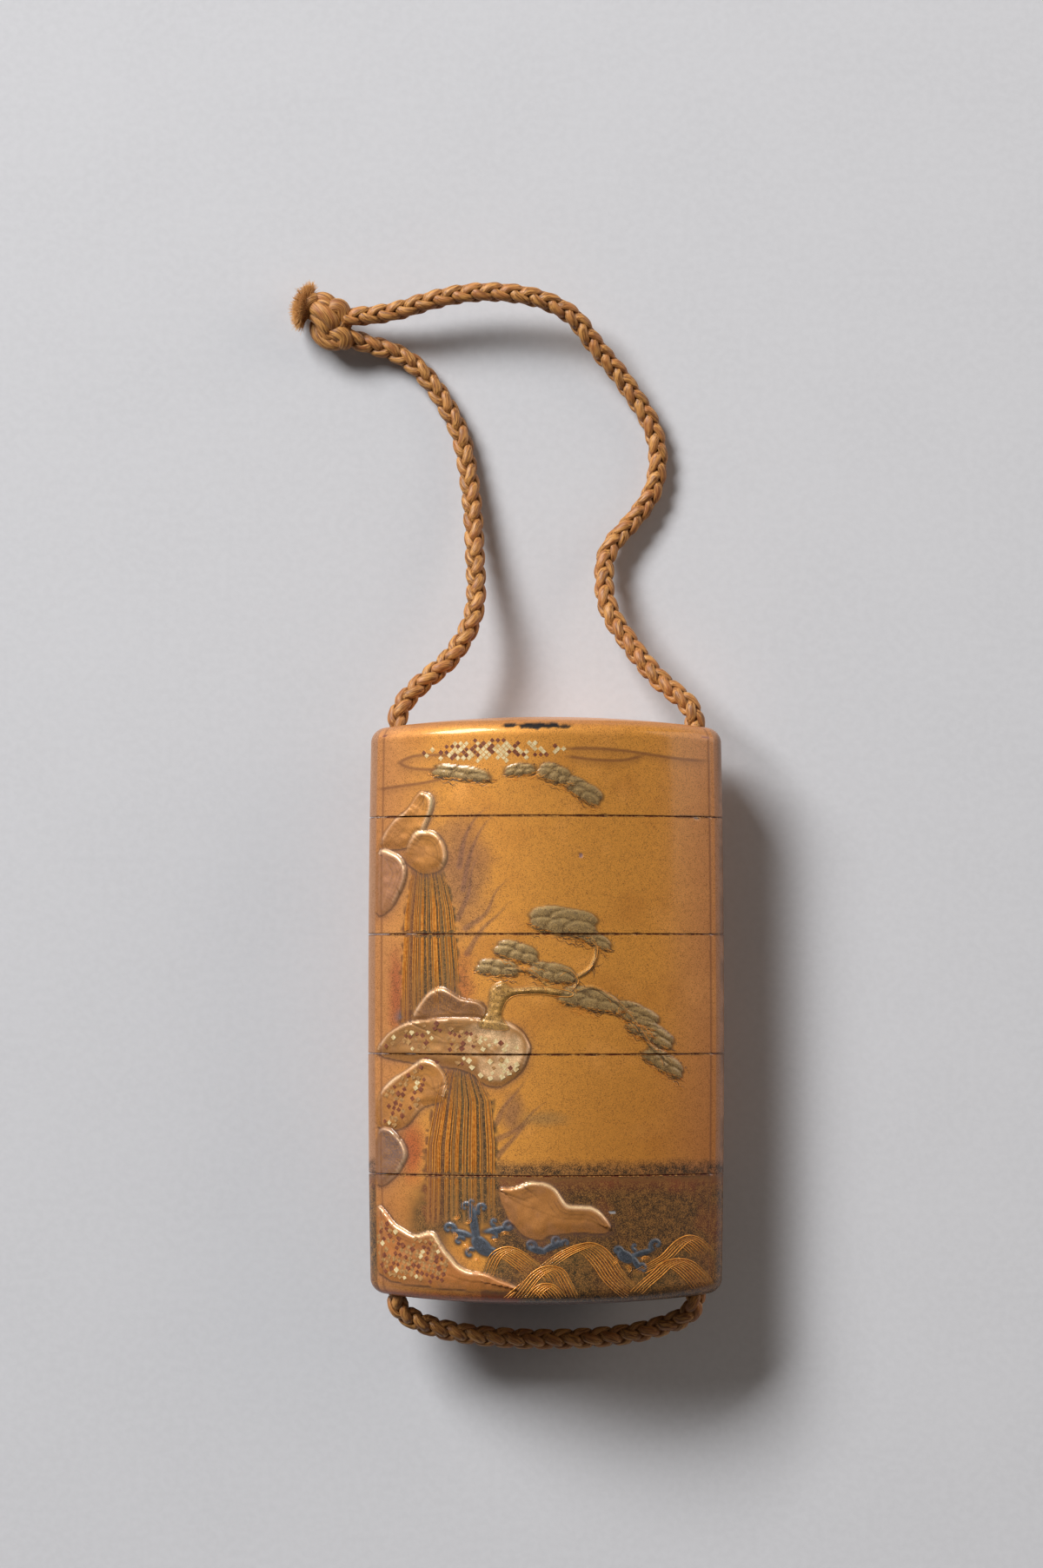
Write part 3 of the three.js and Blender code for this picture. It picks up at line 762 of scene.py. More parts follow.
# Long bands of mist on the lid: each edge is a line, and the shade lies on its lower side.
MIST_EDGES = [
    [[-22.4, 37.0], [-20.2, 37.9], [-16.0, 38.0], [-11.0, 37.6]],
    [[-22.4, 37.0], [-20.6, 36.2], [-17.6, 35.9], [-14.4, 36.0]],
    [[-25.4, 33.1], [-22.0, 33.5], [-18.0, 34.0], [-13.6, 35.0]],
    [[2.6, 38.8], [7.0, 38.9], [11.6, 38.6], [14.8, 38.2], [20.4, 37.5], [24.8, 37.3]],
    [[3.0, 37.7], [7.4, 37.2], [11.6, 37.2], [14.6, 37.9]],
]
# Drifts of spray beside the falls: fine lines that fan away from the water.
SPRAY_LINES = [
    [[-7.6, 31.0], [-10.4, 28.8], [-12.2, 25.6], [-13.0, 21.4]],
    [[-6.0, 30.6], [-9.4, 27.4], [-11.4, 23.0], [-12.4, 18.0]],
    [[-9.2, 24.6], [-11.0, 21.2], [-11.6, 17.4], [-13.2, 13.6]],
    [[-3.8, 21.0], [-7.4, 17.8], [-9.0, 14.4], [-12.0, 12.2]],
    [[-4.6, 17.2], [-7.0, 14.4], [-9.6, 12.0], [-11.8, 8.4]],
    [[1.6, -12.6], [-1.6, -14.6], [-4.2, -17.4], [-7.2, -19.0]],
    [[0.4, -14.2], [-2.6, -16.4], [-4.8, -18.8], [-7.2, -21.4]],
    [[-2.0, -8.6], [-4.2, -11.8], [-6.4, -14.4], [-7.4, -16.6]],
]


def clump_puffs(clump):
    """The puffs of needles in one clump, the farthest first: two rows, each puff wide and low."""
    count = max(3, round(clump["long"] / PUFF_LENGTH))
    lean = math.radians(clump["lean"])
    puffs = []
    for in_row, lift, spread, tall in ((count - 1, 0.38, 0.5, 0.62), (count, -0.3, 0.72, 0.52)):
        for k in range(in_row):
            share = 2 * (k + 0.5) / in_row - 1
            chance = math.sin(5.1 * k + 2.3 * clump["x"] + 7.7 * lift)
            u = share * clump["long"] * spread
            v = clump["tall"] * (lift * (1 - 0.5 * share**2) + 0.1 * chance)
            puffs.append({
                "x": clump["x"] + u * math.cos(lean) - v * math.sin(lean),
                "y": clump["y"] + u * math.sin(lean) + v * math.cos(lean),
                "long": clump["long"] / in_row * (1.15 + 0.2 * chance),
                "tall": clump["tall"] * tall * (1 + 0.12 * chance),
                "lean": lean + 0.12 * chance,
                "phase": 9 * chance,
            })
    return puffs


def puff_depth(puff, x, y):
    """How far each place lies inside a puff's scalloped edge, and how high up in it (-1 to 1)."""
    depth, up = np.full(x.shape, -1.0), np.zeros(x.shape)
    near = np.hypot(x - puff["x"], y - puff["y"]) < 1.5 * puff["long"] + 1.0
    dx, dy = x[near] - puff["x"], y[near] - puff["y"]
    u = (dx * math.cos(puff["lean"]) + dy * math.sin(puff["lean"])) / puff["long"]
    v = (dy * math.cos(puff["lean"]) - dx * math.sin(puff["lean"])) / puff["tall"]
    scallops = 1 + 0.04 * np.abs(np.sin(4 * np.arctan2(v, u) + puff["phase"]))
    depth[near] = (1 - np.hypot(u, v) / scallops) * puff["tall"]
    up[near] = v
    return depth, up


def curl_line(curl, count=26):
    """A stroke that winds up into a hook: a spiral whose radius shrinks to nothing."""
    share = np.linspace(0, 1, count)
    angle = np.radians(curl["from"] + curl["turn"] * share)
    radius = curl["size"] * 0.5 * (1 - share) ** 0.7
    return np.stack([curl["x"] + radius * np.cos(angle), curl["y"] + radius * np.sin(angle)], 1)


CREASE_STARTS = (8, 17)  # the points of a rock's smoothed outline where its clefts begin


def rock_creases(loop):
    """Clefts that run from a rock's upper edge into its face."""
    middle = loop.mean(0)
    starts = [loop[k] for k in CREASE_STARTS]
    return [
        through([start, 0.62 * start + 0.38 * middle + [0.3, -0.1], 0.3 * start + 0.7 * middle])
        for start in starts
    ]


ROCK_LOOPS = {name: smooth_loop(points) for name, points in ROCKS.items()}
ROCK_CREASES = [line for loop in ROCK_LOOPS.values() for line in rock_creases(loop)]
PUFFS = [puff for clump in PINE_CLUMPS for puff in clump_puffs(clump)]
TRUNK_LOOP = smooth_loop(TRUNK)
BRANCH_LINES = [through(points) for points in BRANCHES]
CURL_LINES = [curl_line(curl) for curl in FOAM_CURLS]
MIST_LINES = [through(points) for points in MIST_EDGES]
SPRAY = [through(points) for points in SPRAY_LINES]


def swell_height(crest, x):
    """How high a swell's crest lies at each x; nowhere beyond its ends."""
    return np.interp(x, crest[:, 0], crest[:, 1], left=-99, right=-99)


SWELL_CRESTS = [through(points) for points in SWELLS]


# ---- The picture: how far it stands out, and its colours ------------------------------------------------


def tone(red, green, blue):
    """A colour given as eight-bit display values, as the linear values that shaders take."""
    value = np.array([red, green, blue], float) / 255
    return np.where(value <= 0.04045, value / 12.92, ((value + 0.055) / 1.055) ** 2.4)


# The painted colours are named as they look on the front, where this share of the light comes back.
LIGHT_ON_FRONT = 0.61
GOLD = tone(179, 125, 49)
EDGE_REFLECTION_GOLD = tone(164, 112, 66)
BROWN_GOLD = tone(150, 92, 30)
DARK_GRAIN = tone(120, 74, 30)
PALE_GRAIN = tone(206, 150, 80)
SEA_DARK = tone(42, 30, 17)
SEA_RED = tone(112, 54, 30)
SEA_GRAIN = tone(144, 100, 48)
GREEN_GROUND = tone(68, 54, 26)
FALL_DARK = tone(42, 32, 16)
FALL_RED = tone(128, 66, 32)
FALL_GOLD = tone(184, 126, 58)
RED_SHADE = tone(150, 76, 42)
RUST_SHADE = tone(158, 78, 34)
MOSS_SHADE = tone(128, 104, 66)
PURPLE_SHADE = tone(110, 74, 62)
BLUE_GREY = tone(70, 78, 90)
FOAM_GREY = tone(42, 49, 56)
FOAM_PALE = tone(104, 112, 120)
MAUVE_FACE = tone(146, 104, 78)
TAN_FACE = tone(156, 106, 50)
PALE_FACE = tone(176, 148, 110)
CREAM_AND_RIM_HIGHLIGHT = tone(226, 190, 150)
CREVICE = tone(62, 38, 26)
OLIVE = tone(108, 86, 52)
OLIVE_PAINTED_LIGHT = tone(140, 118, 78)
OLIVE_DARK = tone(70, 48, 28)
OLIVE_GRAIN = tone(158, 128, 78)
TRUNK_GOLD = tone(158, 122, 62)
MIST_BROWN = tone(104, 62, 36)
BLACK_LACQUER = tone(26, 20, 18)
RED_UNDERCOAT = tone(96, 40, 24)
SIDE_REFLECTION_GREY = tone(140, 104, 78)
SEAM_WEAR_AND_SHADE = tone(44, 30, 22)
FOOT_RED = tone(140, 62, 30)
RIM_GREY = tone(92, 74, 70)
LID_RIM = tone(150, 96, 58)
BARE_PRIMER = tone(140, 108, 100)
FOAM_FLECK = tone(150, 150, 150)

ROCK_FACES = {
    "high_peak": (TAN_FACE, 0.3),
    "high_boulder": (TAN_FACE, 0.7),
    "edge_boulder": (MAUVE_FACE, 0.9),
    "middle_peak": (tone(108, 74, 48), 0.9),
    "ledge": (tone(136, 98, 54), 0.9),
    "fall_boulder": (TAN_FACE, 0.7),
    "low_boulder": (tone(112, 86, 74), 1.0),
    "sea_rock": (tone(158, 106, 52), 0.95),
    "shore": (tone(160, 100, 50), 0.9),
}


class Picture:
    """Everything that the relief and the colours need to know at some places (x, y) of the front."""

    def __init__(self, x, y):
        self.x, self.y = x, y
        wobble = 0.12 * smooth_noise(x, y, 1.6, 5) + 0.03 * smooth_noise(x, y, 0.6, 6)
        self.rocks = {}
        for name, loop in ROCK_LOOPS.items():
            depth, out_x, out_y = depth_inside(x, y, loop)
            facing = fade(0.55 * out_x + 0.83 * out_y, -0.5, 0.45)
            self.rocks[name] = (depth + wobble * (depth > -3), facing, out_x, out_y)
        self.puffs = [puff_depth(puff, x, y) for puff in PUFFS]
        self.creases = [distance_to_line(x, y, line) for line in ROCK_CREASES]
        self.trunk = depth_inside(x, y, TRUNK_LOOP)[0] + 0.5 * wobble
        self.branch = np.min([distance_to_line(x, y, line)[0] for line in BRANCH_LINES], axis=0)
        self.foam = np.full(x.shape, -3.0)
        for curl, line in zip(FOAM_CURLS, CURL_LINES):
            away, share = distance_to_line(x, y, line)
            self.foam = np.maximum(self.foam, curl["thick"] * (0.62 - 0.38 * share) - away)
        for body in FOAM_BODIES:
            lean = math.radians(body["lean"])
            u = (x - body["x"]) * math.cos(lean) + (y - body["y"]) * math.sin(lean)
            v = (y - body["y"]) * math.cos(lean) - (x - body["x"]) * math.sin(lean)
            round_off = 1 - np.hypot(u / body["long"], v / body["tall"])
            self.foam = np.maximum(self.foam, round_off * body["tall"] + 0.5 * wobble)

    def relief(self):
        height = 0.02 * clouds(self.x, self.y, 9.0, 3, 2)
        for depth, facing, _, _ in self.rocks.values():
            rim = fade(depth, -0.02, 0.34) * (1 - 0.5 * fade(depth, 0.5, 2.4))
            face = 0.4 * fade(depth, 0.0, 1.6)
            rough = 0.05 * fade(depth, 0.2, 1.2) * smooth_noise(self.x, self.y, 0.9, 11)
            rock = ROCK_RELIEF * (facing * rim + (1 - facing) * face) + rough
            groove = 0.07 * np.exp(-(((depth + 0.16) / 0.2) ** 2)) * (0.35 + 0.65 * facing)
            height = np.where(depth > 0, np.maximum(height, rock), height - groove)
        needles = 0.02 * smooth_noise(self.x, self.y, 0.35, 21)
        for depth, up in self.puffs:
            dome = PINE_RELIEF * (0.45 + 0.45 * fade(depth, 0, 0.45) + 0.12 * up) + needles
            cover = fade(depth, -0.07, 0.05)
            height = height + (dome - height) * cover
        for away, share in self.creases:
            height = height - 0.09 * np.exp(-((away / 0.13) ** 2)) * (1 - share)
        bark = 0.06 * smooth_noise(self.x * 2.2, self.y, 0.5, 31)
        height = np.maximum(height, (TRUNK_RELIEF + bark) * fade(self.trunk, -0.05, 0.55))
        height = np.maximum(height, 0.2 * fade(0.42 - self.branch, 0, 0.4))
        height = np.maximum(height, FOAM_RELIEF * fade(self.foam, -0.05, 0.25))
        return height * fade(25.35 - np.abs(self.x), 0, 0.5)


def relief_at(x, y):
    return Picture(np.asarray(x, float), np.asarray(y, float)).relief()


class Paint:
    """The lacquer's ground colour, the powder sprinkled on it, how thickly, and how glossy it is."""

    def __init__(self, count):
        self.ground = np.tile(GOLD, (count, 1))
        self.powder = np.tile(DARK_GRAIN, (count, 1))
        self.density = np.full(count, 0.16)
        self.gloss = np.full(count, 0.45)

    def lay(self, amount, ground=None, powder=None, density=None, gloss=None):
        share = amount[:, None]
        if ground is not None:
            self.ground += (ground - self.ground) * share
        if powder is not None:
            self.powder += (powder - self.powder) * share
        if density is not None:
            self.density += (density - self.density) * amount
        if gloss is not None:
            self.gloss += (gloss - self.gloss) * amount


def fall_share(fall, x, y):
    """Where a place lies across a sheet of water (0 at its left edge, 1 at its right), and how wet it is."""
    left, right = np.array(fall["left"]), np.array(fall["right"])
    x_left = np.interp(-y, -left[:, 1], left[:, 0])
    x_right = np.interp(-y, -right[:, 1], right[:, 0])
    across = (x - x_left) / (x_right - x_left)
    lip = left[0, 1] + (right[0, 1] - left[0, 1]) * np.clip(across, 0, 1) + 0.6
    foot = left[-1, 1] + (right[-1, 1] - left[-1, 1]) * np.clip(across, 0, 1)
    ragged = 0.06 * smooth_noise(x, y, 0.6, 41)
    wet = fade(across + ragged, -0.03, 0.05) * fade(1 - across + ragged, -0.03, 0.06)
    return across, wet * fade(lip - y, 0, 0.8) * fade(y - foot, -1.2, 0.8)


def paint_ground(paint, x, y, seed):
    # Painted reflection: the ground turns a duller pinkish gold towards both side edges, where the curving
    # lacquer mirrors the paper.
    paint.lay(0.9 * fade(np.abs(x), 15, 26), EDGE_REFLECTION_GOLD)
    paint.lay(0.35 * fade(clouds(x, y, 7.0, seed), 0.0, 0.7), BROWN_GOLD)
    paint.lay(0.22 * fade(clouds(x, y, 5.0, seed + 4), 0.1, 0.8), PALE_GRAIN)
    paint.lay(0.45 * fade(-y, -8, 22) * fade(x, -6, 20), BROWN_GOLD)


def paint_sea(paint, x, y, across_all=False):
    shore = 1.0 if across_all else fade(x - SEA_LEFT, -1.0, 0.8)
    sprinkle = fade(SEA_LEVEL - y + 0.35 * clouds(x, y, 3.0, 51), -0.9, 1.0) * shore
    paint.lay(0.35 * sprinkle, PURPLE_SHADE)
    paint.lay(sprinkle, powder=SEA_DARK, density=0.62)
    deep = fade(SEAMS[3] - y + 0.3 * clouds(x, y, 4.0, 52), -0.4, 1.6) * shore
    paint.lay(0.95 * deep, SEA_DARK, SEA_GRAIN, 0.34)
    red = fade(y - SEAMS[3], -3.4, -0.2) * deep
    paint.lay(np.clip(0.7 * red + 0.45 * deep * fade(clouds(x, y, 5.0, 53), 0.05, 0.5), 0, 0.8), SEA_RED)


def paint_swells(paint, x, y):
    for crest in SWELL_CRESTS:
        height = swell_height(crest, x)
        top_x = crest[np.argmax(crest[:, 1]), 0]
        inside = fade(height - y, 0, 0.2)
        near_crest = fade(y - height, -1.3, -0.1)
        right_side = fade(x - top_x, -1.0, 3.0)
        paint.lay(inside * 0.92, GREEN_GROUND, SEA_GRAIN, 0.42)
        paint.lay(inside * right_side * 0.5 * fade(height - y, 0.3, 2.5), SEA_RED, SEA_GRAIN, 0.35)
        paint.lay(inside * near_crest * 0.3, FALL_GOLD)
        paint.lay(inside * 0.6 * fade(height - y, 1.2, 4.0), SEA_DARK, SEA_GRAIN, 0.35)
        paint.lay(0.8 * np.exp(-(((height - y + 0.14) / 0.15) ** 2)) * (inside < 0.5), SEA_DARK)


def thread_places(number):
    """Where the bundles of threads lie across a sheet of water, as shares of its width."""
    k = np.arange(FALL_BUNDLES)
    return (k + 0.5 + 0.18 * np.sin(4.3 * k + 2.0 * number)) / FALL_BUNDLES


def paint_falls(paint, x, y):
    for number, fall in enumerate(FALLS):
        across, wet = fall_share(fall, x, y)
        paint.lay(wet * 0.97, FALL_DARK, SEA_GRAIN, 0.24)
        streaks = smooth_noise(across * 14, y / 9, 1.0, 61 + number)
        paint.lay(wet * 0.8 * fade(streaks, -0.3, 0.4), GREEN_GROUND)
        paint.lay(wet * 0.5 * fade(0.42 - across, 0, 0.4), FALL_RED)
        for place in thread_places(number):
            paint.lay(wet * 0.4 * np.exp(-(((across - place) / 0.016) ** 2)), FALL_GOLD, DARK_GRAIN, 0.25)


# Soft sprinkled shades: red beside the water, purple in the gorge, blue-grey behind the spray. Each has its
# strength, middle (x, y), half width, half height, ground, powder and how thick the powder lies.
SHADES = [
    (0.55, -12.6, 20.0, 6.0, 13.5, PURPLE_SHADE, SEA_DARK, 0.35),
    (0.6, -12.8, 4.0, 3.2, 6.5, RED_SHADE, FALL_DARK, 0.45),
    (0.8, -22.4, 3.0, 1.9, 9.0, RED_SHADE, FALL_DARK, 0.25),
    (0.85, -20.0, -21.0, 2.6, 6.4, RUST_SHADE, FALL_DARK, 0.2),
    (0.9, -20.8, -0.9, 2.2, 1.7, BLUE_GREY, OLIVE_DARK, 0.35),
    (0.9, -17.6, -31.0, 5.6, 6.4, FALL_DARK, SEA_GRAIN, 0.4),
    (0.55, -5.0, -15.2, 2.4, 4.5, PURPLE_SHADE, SEA_DARK, 0.35),
    (0.5, -0.6, -16.0, 5.0, 1.7, MOSS_SHADE, OLIVE_DARK, 0.3),
]


def paint_shades(paint, x, y):
    rough = 0.22 * clouds(x, y, 2.4, 71)
    for strength, cx, cy, rx, ry, ground, powder, density in SHADES:
        patch = fade(1 - np.hypot((x - cx) / rx, (y - cy) / ry) + rough, 0.0, 0.85)
        paint.lay(strength * patch, ground, powder, density)


def paint_mist(paint, x, y):
    for line in MIST_LINES:
        away, share = distance_to_line(x, y, line)
        ends = fade(share, 0, 0.08) * fade(1 - share, 0, 0.12)
        at = np.interp(x, line[:, 0], line[:, 1])
        below = fade(at - y, -0.1, 0.3)
        paint.lay(0.75 * fade(0.34 - away, 0, 0.28) * (0.4 + 0.6 * ends), MIST_BROWN)
        paint.lay(0.3 * fade(1.7 - away, 0, 1.6) * below * ends, MIST_BROWN)
    for line in SPRAY:
        away, share = distance_to_line(x, y, line)
        wide = 0.1 + 0.5 * share
        paint.lay(0.5 * fade(wide - away, 0, 0.3) * fade(share, 0, 0.3), PURPLE_SHADE, OLIVE_DARK, 0.5)


ROCK_RIPPLES = (0.85, 1.35, 2.1)  # how far inside a rock's rim its contour lines run


def paint_rocks(paint, picture):
    x, y = picture.x, picture.y
    for name, (depth, facing, out_x, out_y) in picture.rocks.items():
        face, amount = ROCK_FACES[name]
        # Painted shadow: a soft purple-brown shade just outside each rock on its lower right side, away from
        # the light.
        shadow_side = fade(0.75 * out_x - 0.66 * out_y, -0.75, 0.1)
        outside = np.exp(-np.maximum(-depth, 0) / 0.5) * (depth <= 0.05)
        paint.lay(0.7 * outside * shadow_side * (1 - 0.3 * facing), PURPLE_SHADE, SEA_DARK, 0.35)
        within = fade(depth, -0.05, 0.2)
        paint.lay(within * amount, face, TAN_FACE, 0.2)
        paint.lay(within * (1 - facing) * fade(2.6 - depth, 0, 2.6) * 0.5, BROWN_GOLD * 0.8, SEA_DARK, 0.3)
        blotch = fade(clouds(x, y, 1.8, 81), -0.1, 0.5)
        paint.lay(within * blotch * 0.3 * amount, MAUVE_FACE * 0.8)
        drawn = fade(smooth_noise(x, y, 2.2, 86), -0.3, 0.3) * facing
        for ripple in ROCK_RIPPLES:
            paint.lay(0.4 * drawn * np.exp(-(((depth - ripple) / 0.09) ** 2)), CREVICE)
        # Painted highlight, partly the rim's own fine gold: a cream, glossy line along the rock edges that
        # face up and right.
        swelling = fade(smooth_noise(x, y, 3.4, 87), -0.7, 0.5)
        rim = np.exp(-(((depth - 0.27) / (0.12 + 0.16 * swelling)) ** 2))
        paint.lay(0.85 * rim * facing * (0.25 + 0.75 * swelling), CREAM_AND_RIM_HIGHLIGHT, PALE_FACE, 0.1, 0.9)
        # A dark line round each rock's foot: partly a drawn outline, partly painted shade in the groove
        # there, strongest on the lower right side.
        line = np.exp(-(((depth + 0.06) / 0.13) ** 2))
        paint.lay(0.85 * line * (0.3 + 0.7 * np.maximum(shadow_side, facing * 0.6)), CREVICE)
    for away, share in picture.creases:
        paint.lay(0.75 * np.exp(-((away / 0.1) ** 2)) * (1 - share), CREVICE)
    ledge = picture.rocks["ledge"][0]
    bright = fade(ledge, 0.5, 1.4) * fade(x, -13.5, -8.5) * fade(clouds(x, y, 2.0, 84), -0.5, 0.3)
    paint.lay(0.7 * bright, PALE_FACE, CREAM_AND_RIM_HIGHLIGHT, 0.3)


def paint_pine(paint, picture):
    paint.lay(0.9 * fade(picture.trunk, -0.1, 0.15), TRUNK_GOLD, OLIVE_DARK, 0.35)
    paint.lay(0.7 * np.exp(-(((picture.trunk + 0.02) / 0.13) ** 2)), OLIVE_DARK)
    paint.lay(0.8 * fade(0.42 - picture.branch, 0, 0.16), TRUNK_GOLD, OLIVE_DARK, 0.3)
    for depth, up in picture.puffs:
        within = fade(depth, -0.06, 0.06)
        paint.lay(0.65 * np.exp(-(((depth + 0.07) / 0.11) ** 2)), OLIVE_DARK)
        paint.lay(within, OLIVE, OLIVE_GRAIN, 0.3)
        # Painted light and shade: each puff is paler towards its top and darker towards its foot.
        paint.lay(within * fade(up, -0.1, 0.95) * 0.6, OLIVE_PAINTED_LIGHT)
        paint.lay(within * fade(-up, 0.1, 1.0) * 0.6, OLIVE_DARK)


# Places where the lacquer has worn or chipped: x, y, half width, half height, and what shows there.
WEAR = [
    (-0.9, 42.35, 8.6, 0.8, BLACK_LACQUER),
    (-25.6, 28.9, 0.75, 0.35, BLACK_LACQUER),
    (13.3, 11.35, 1.1, 0.3, BLACK_LACQUER),
    (8.7, 28.9, 0.9, 0.22, BLACK_LACQUER),
    (22.8, 28.7, 0.8, 0.25, BLACK_LACQUER),
    (25.9, 34.8, 0.4, 0.5, BLACK_LACQUER),
    (25.9, 33.0, 0.3, 0.4, BLACK_LACQUER),
    (24.4, 40.9, 1.0, 0.35, RED_UNDERCOAT),
    (5.1, 22.9, 0.45, 0.6, BARE_PRIMER),
    (9.8, -29.8, 0.9, 0.35, FOAM_FLECK),
    (-24.6, 41.1, 0.6, 0.25, RED_UNDERCOAT),
    (7.0, -6.6, 0.7, 0.16, BLACK_LACQUER),
]


# Where the tones of the case's ends and the painted shade of its right edge begin and are full, from the
# middle of the case.
FOOT_BAND = (41.4, 42.6)
BASE_RIM_BAND = (43.3, 43.9)
LID_RIM_BAND = (41.8, 43.0)
RIGHT_EDGE_BAND = (25.9, 26.4)


def wear_amount(x, y):
    """For each worn place, how bare the lacquer is there."""
    ragged = 0.5 * clouds(x, y, 0.9, 91)
    return [
        fade(1 - np.hypot((x - cx) / rx, (y - cy) / ry) + ragged, 0.25, 0.5) for cx, cy, rx, ry, _ in WEAR
    ]


def paint_edges(paint, x, y, low, high):
    """Seam lines, partly rubbed edges and partly painted shade in the gaps; the worn, darkened ends; painted
    shade on the right edge.
    """
    rough = 0.12 * clouds(x, y, 1.5, 95)
    near_seam = np.minimum(y - low, high - y)
    # Hair-thin dark lines at the seams: partly rubbed edges, partly painted shade of the gap between the
    # pieces.
    paint.lay(0.9 * fade(0.15 - near_seam + 0.6 * rough, 0, 0.12), SEAM_WEAR_AND_SHADE, SEAM_WEAR_AND_SHADE, 0.1, 0.3)
    foot = fade(-y + 2 * rough, *FOOT_BAND)
    paint.lay(0.8 * foot * fade(-x, 2.5, 5.0), FOOT_RED, SEA_DARK, 0.3)
    paint.lay(0.85 * foot * fade(x, -5.0, -2.5), BLACK_LACQUER, SEA_GRAIN, 0.3)
    paint.lay(0.85 * fade(-y + rough, *BASE_RIM_BAND), RIM_GREY, RIM_GREY, 0.1)
    paint.lay(0.6 * fade(y + 2 * rough, *LID_RIM_BAND), LID_RIM)
    # Painted shade: the right edge is darkened in patches along its length.
    rubbed = fade(clouds(0 * x, y, 2.4, 99), -0.6, 0.5)
    paint.lay(0.5 * fade(x, *RIGHT_EDGE_BAND) * rubbed, SEA_DARK)


# ---- The case: rings of a fine shell --------------------------------------------------------------------

FRONT_STEPS = 300
SIDE_STEPS = 18
BACK_STEPS = 92
RING_STEPS = FRONT_STEPS + 2 * SIDE_STEPS + BACK_STEPS
ROW_STEP = 0.18
LIP = 0.09  # the tiny rounding at each seam edge
EDGE_ROWS = 12
CAP_ROWS = 16
FRONT, RIGHT, BACK, LEFT = range(4)
ZONE = np.repeat([FRONT, RIGHT, BACK, LEFT], [FRONT_STEPS, SIDE_STEPS, BACK_STEPS, SIDE_STEPS])
SKIN_SLOT, INNER_SLOT = 0, 1


def lens(half_width, arc_radius):
    side_radius = (arc_radius**2 - half_width**2 - ARC_CENTRE**2) / (2 * (arc_radius - half_width))
    return half_width - side_radius, side_radius, arc_radius


CASE_LENS = lens(HALF_WIDTH, ARC_RADIUS)
HOLLOW_LENS = lens(HOLLOW_HALF_WIDTH, ARC_RADIUS - WALL)


def lens_ring(shape, grow=0.0):
    """The lens's outline, (x, z) from the middle of the case, grown by one amount or one for each point."""
    side_centre, side_radius, arc_radius = shape
    turn = math.atan2(side_centre, ARC_CENTRE)
    arcs = [
        (0, -ARC_CENTRE, arc_radius, -turn, turn, FRONT_STEPS),
        (side_centre, 0, side_radius, turn, math.pi - turn, SIDE_STEPS),
        (0, ARC_CENTRE, arc_radius, math.pi - turn, math.pi + turn, BACK_STEPS),
        (-side_centre, 0, side_radius, math.pi + turn, 2 * math.pi - turn, SIDE_STEPS),
    ]
    angle = np.concatenate([np.linspace(a, b, n, endpoint=False) for _, _, _, a, b, n in arcs])
    centre_x, centre_z, radius = (
        np.concatenate([np.full(arc[5], arc[k], float) for arc in arcs]) for k in range(3)
    )
    return centre_x + (radius + grow) * np.sin(angle), centre_z + (radius + grow) * np.cos(angle)


def dome_drop(x, z):
    return x**2 / (2 * DOME_RADIUS_ACROSS) + z**2 / (2 * DOME_RADIUS_THROUGH)


def bow_at(y):
    return 1 - SIDE_BOW / HALF_WIDTH * (y / HALF_HEIGHT) ** 2


PERIMETER = np.concatenate([[0], np.cumsum(np.hypot(*(np.diff(row) for row in lens_ring(CASE_LENS))))])


class Shell:
    """Rings of one piece, from the middle of its inner floor round to the middle of its far end."""

    def __init__(self):
        self.rings, self.slots, self.picture_y = [], [], []

    def add(self, x, z, y, slot, picture_y=None):
        y = np.broadcast_to(np.asarray(y, float), x.shape)
        self.rings.append(np.stack([x, y, np.maximum(z + REST_HEIGHT, 0.0)], 1))
        self.slots.append(slot)
        self.picture_y.append(y if picture_y is None else np.broadcast_to(picture_y, x.shape))

    def inner(self, grow, y, share=1.0, shape=HOLLOW_LENS):
        x, z = lens_ring(shape, grow)
        bow = bow_at(y) if shape is CASE_LENS else 1.0
        self.add(x * share * bow, z * share, y, INNER_SLOT)


def skin_rows(shell, low, high):
    """The outer skin from one height up to another, displaced by the picture. Heights are one a point."""
    x, _ = lens_ring(CASE_LENS)
    rows = int(np.ceil(np.abs(high - low).max() / ROW_STEP))
    share = np.linspace(0, 1, rows + 1)[:, None]
    y = low + (high - low) * share
    x_all = np.broadcast_to(x, y.shape)
    grow = 0.02 * clouds(PERIMETER + 0 * y, y, 8.0, 13, 2)
    front = np.broadcast_to(ZONE == FRONT, y.shape)
    fx, fy = x_all[front], y[front]
    bare = np.max(wear_amount(fx, fy), axis=0)
    rubbed = np.exp(-(((np.abs(fx) - 24.7) / 0.12) ** 2))
    grow[front] = Picture(fx, fy).relief() - 0.1 * bare - 0.05 * rubbed
    for row_y, row_grow in zip(y, grow):
        ring_x, ring_z = lens_ring(CASE_LENS, row_grow)
        shell.add(ring_x * bow_at(row_y), ring_z, row_y, SKIN_SLOT)


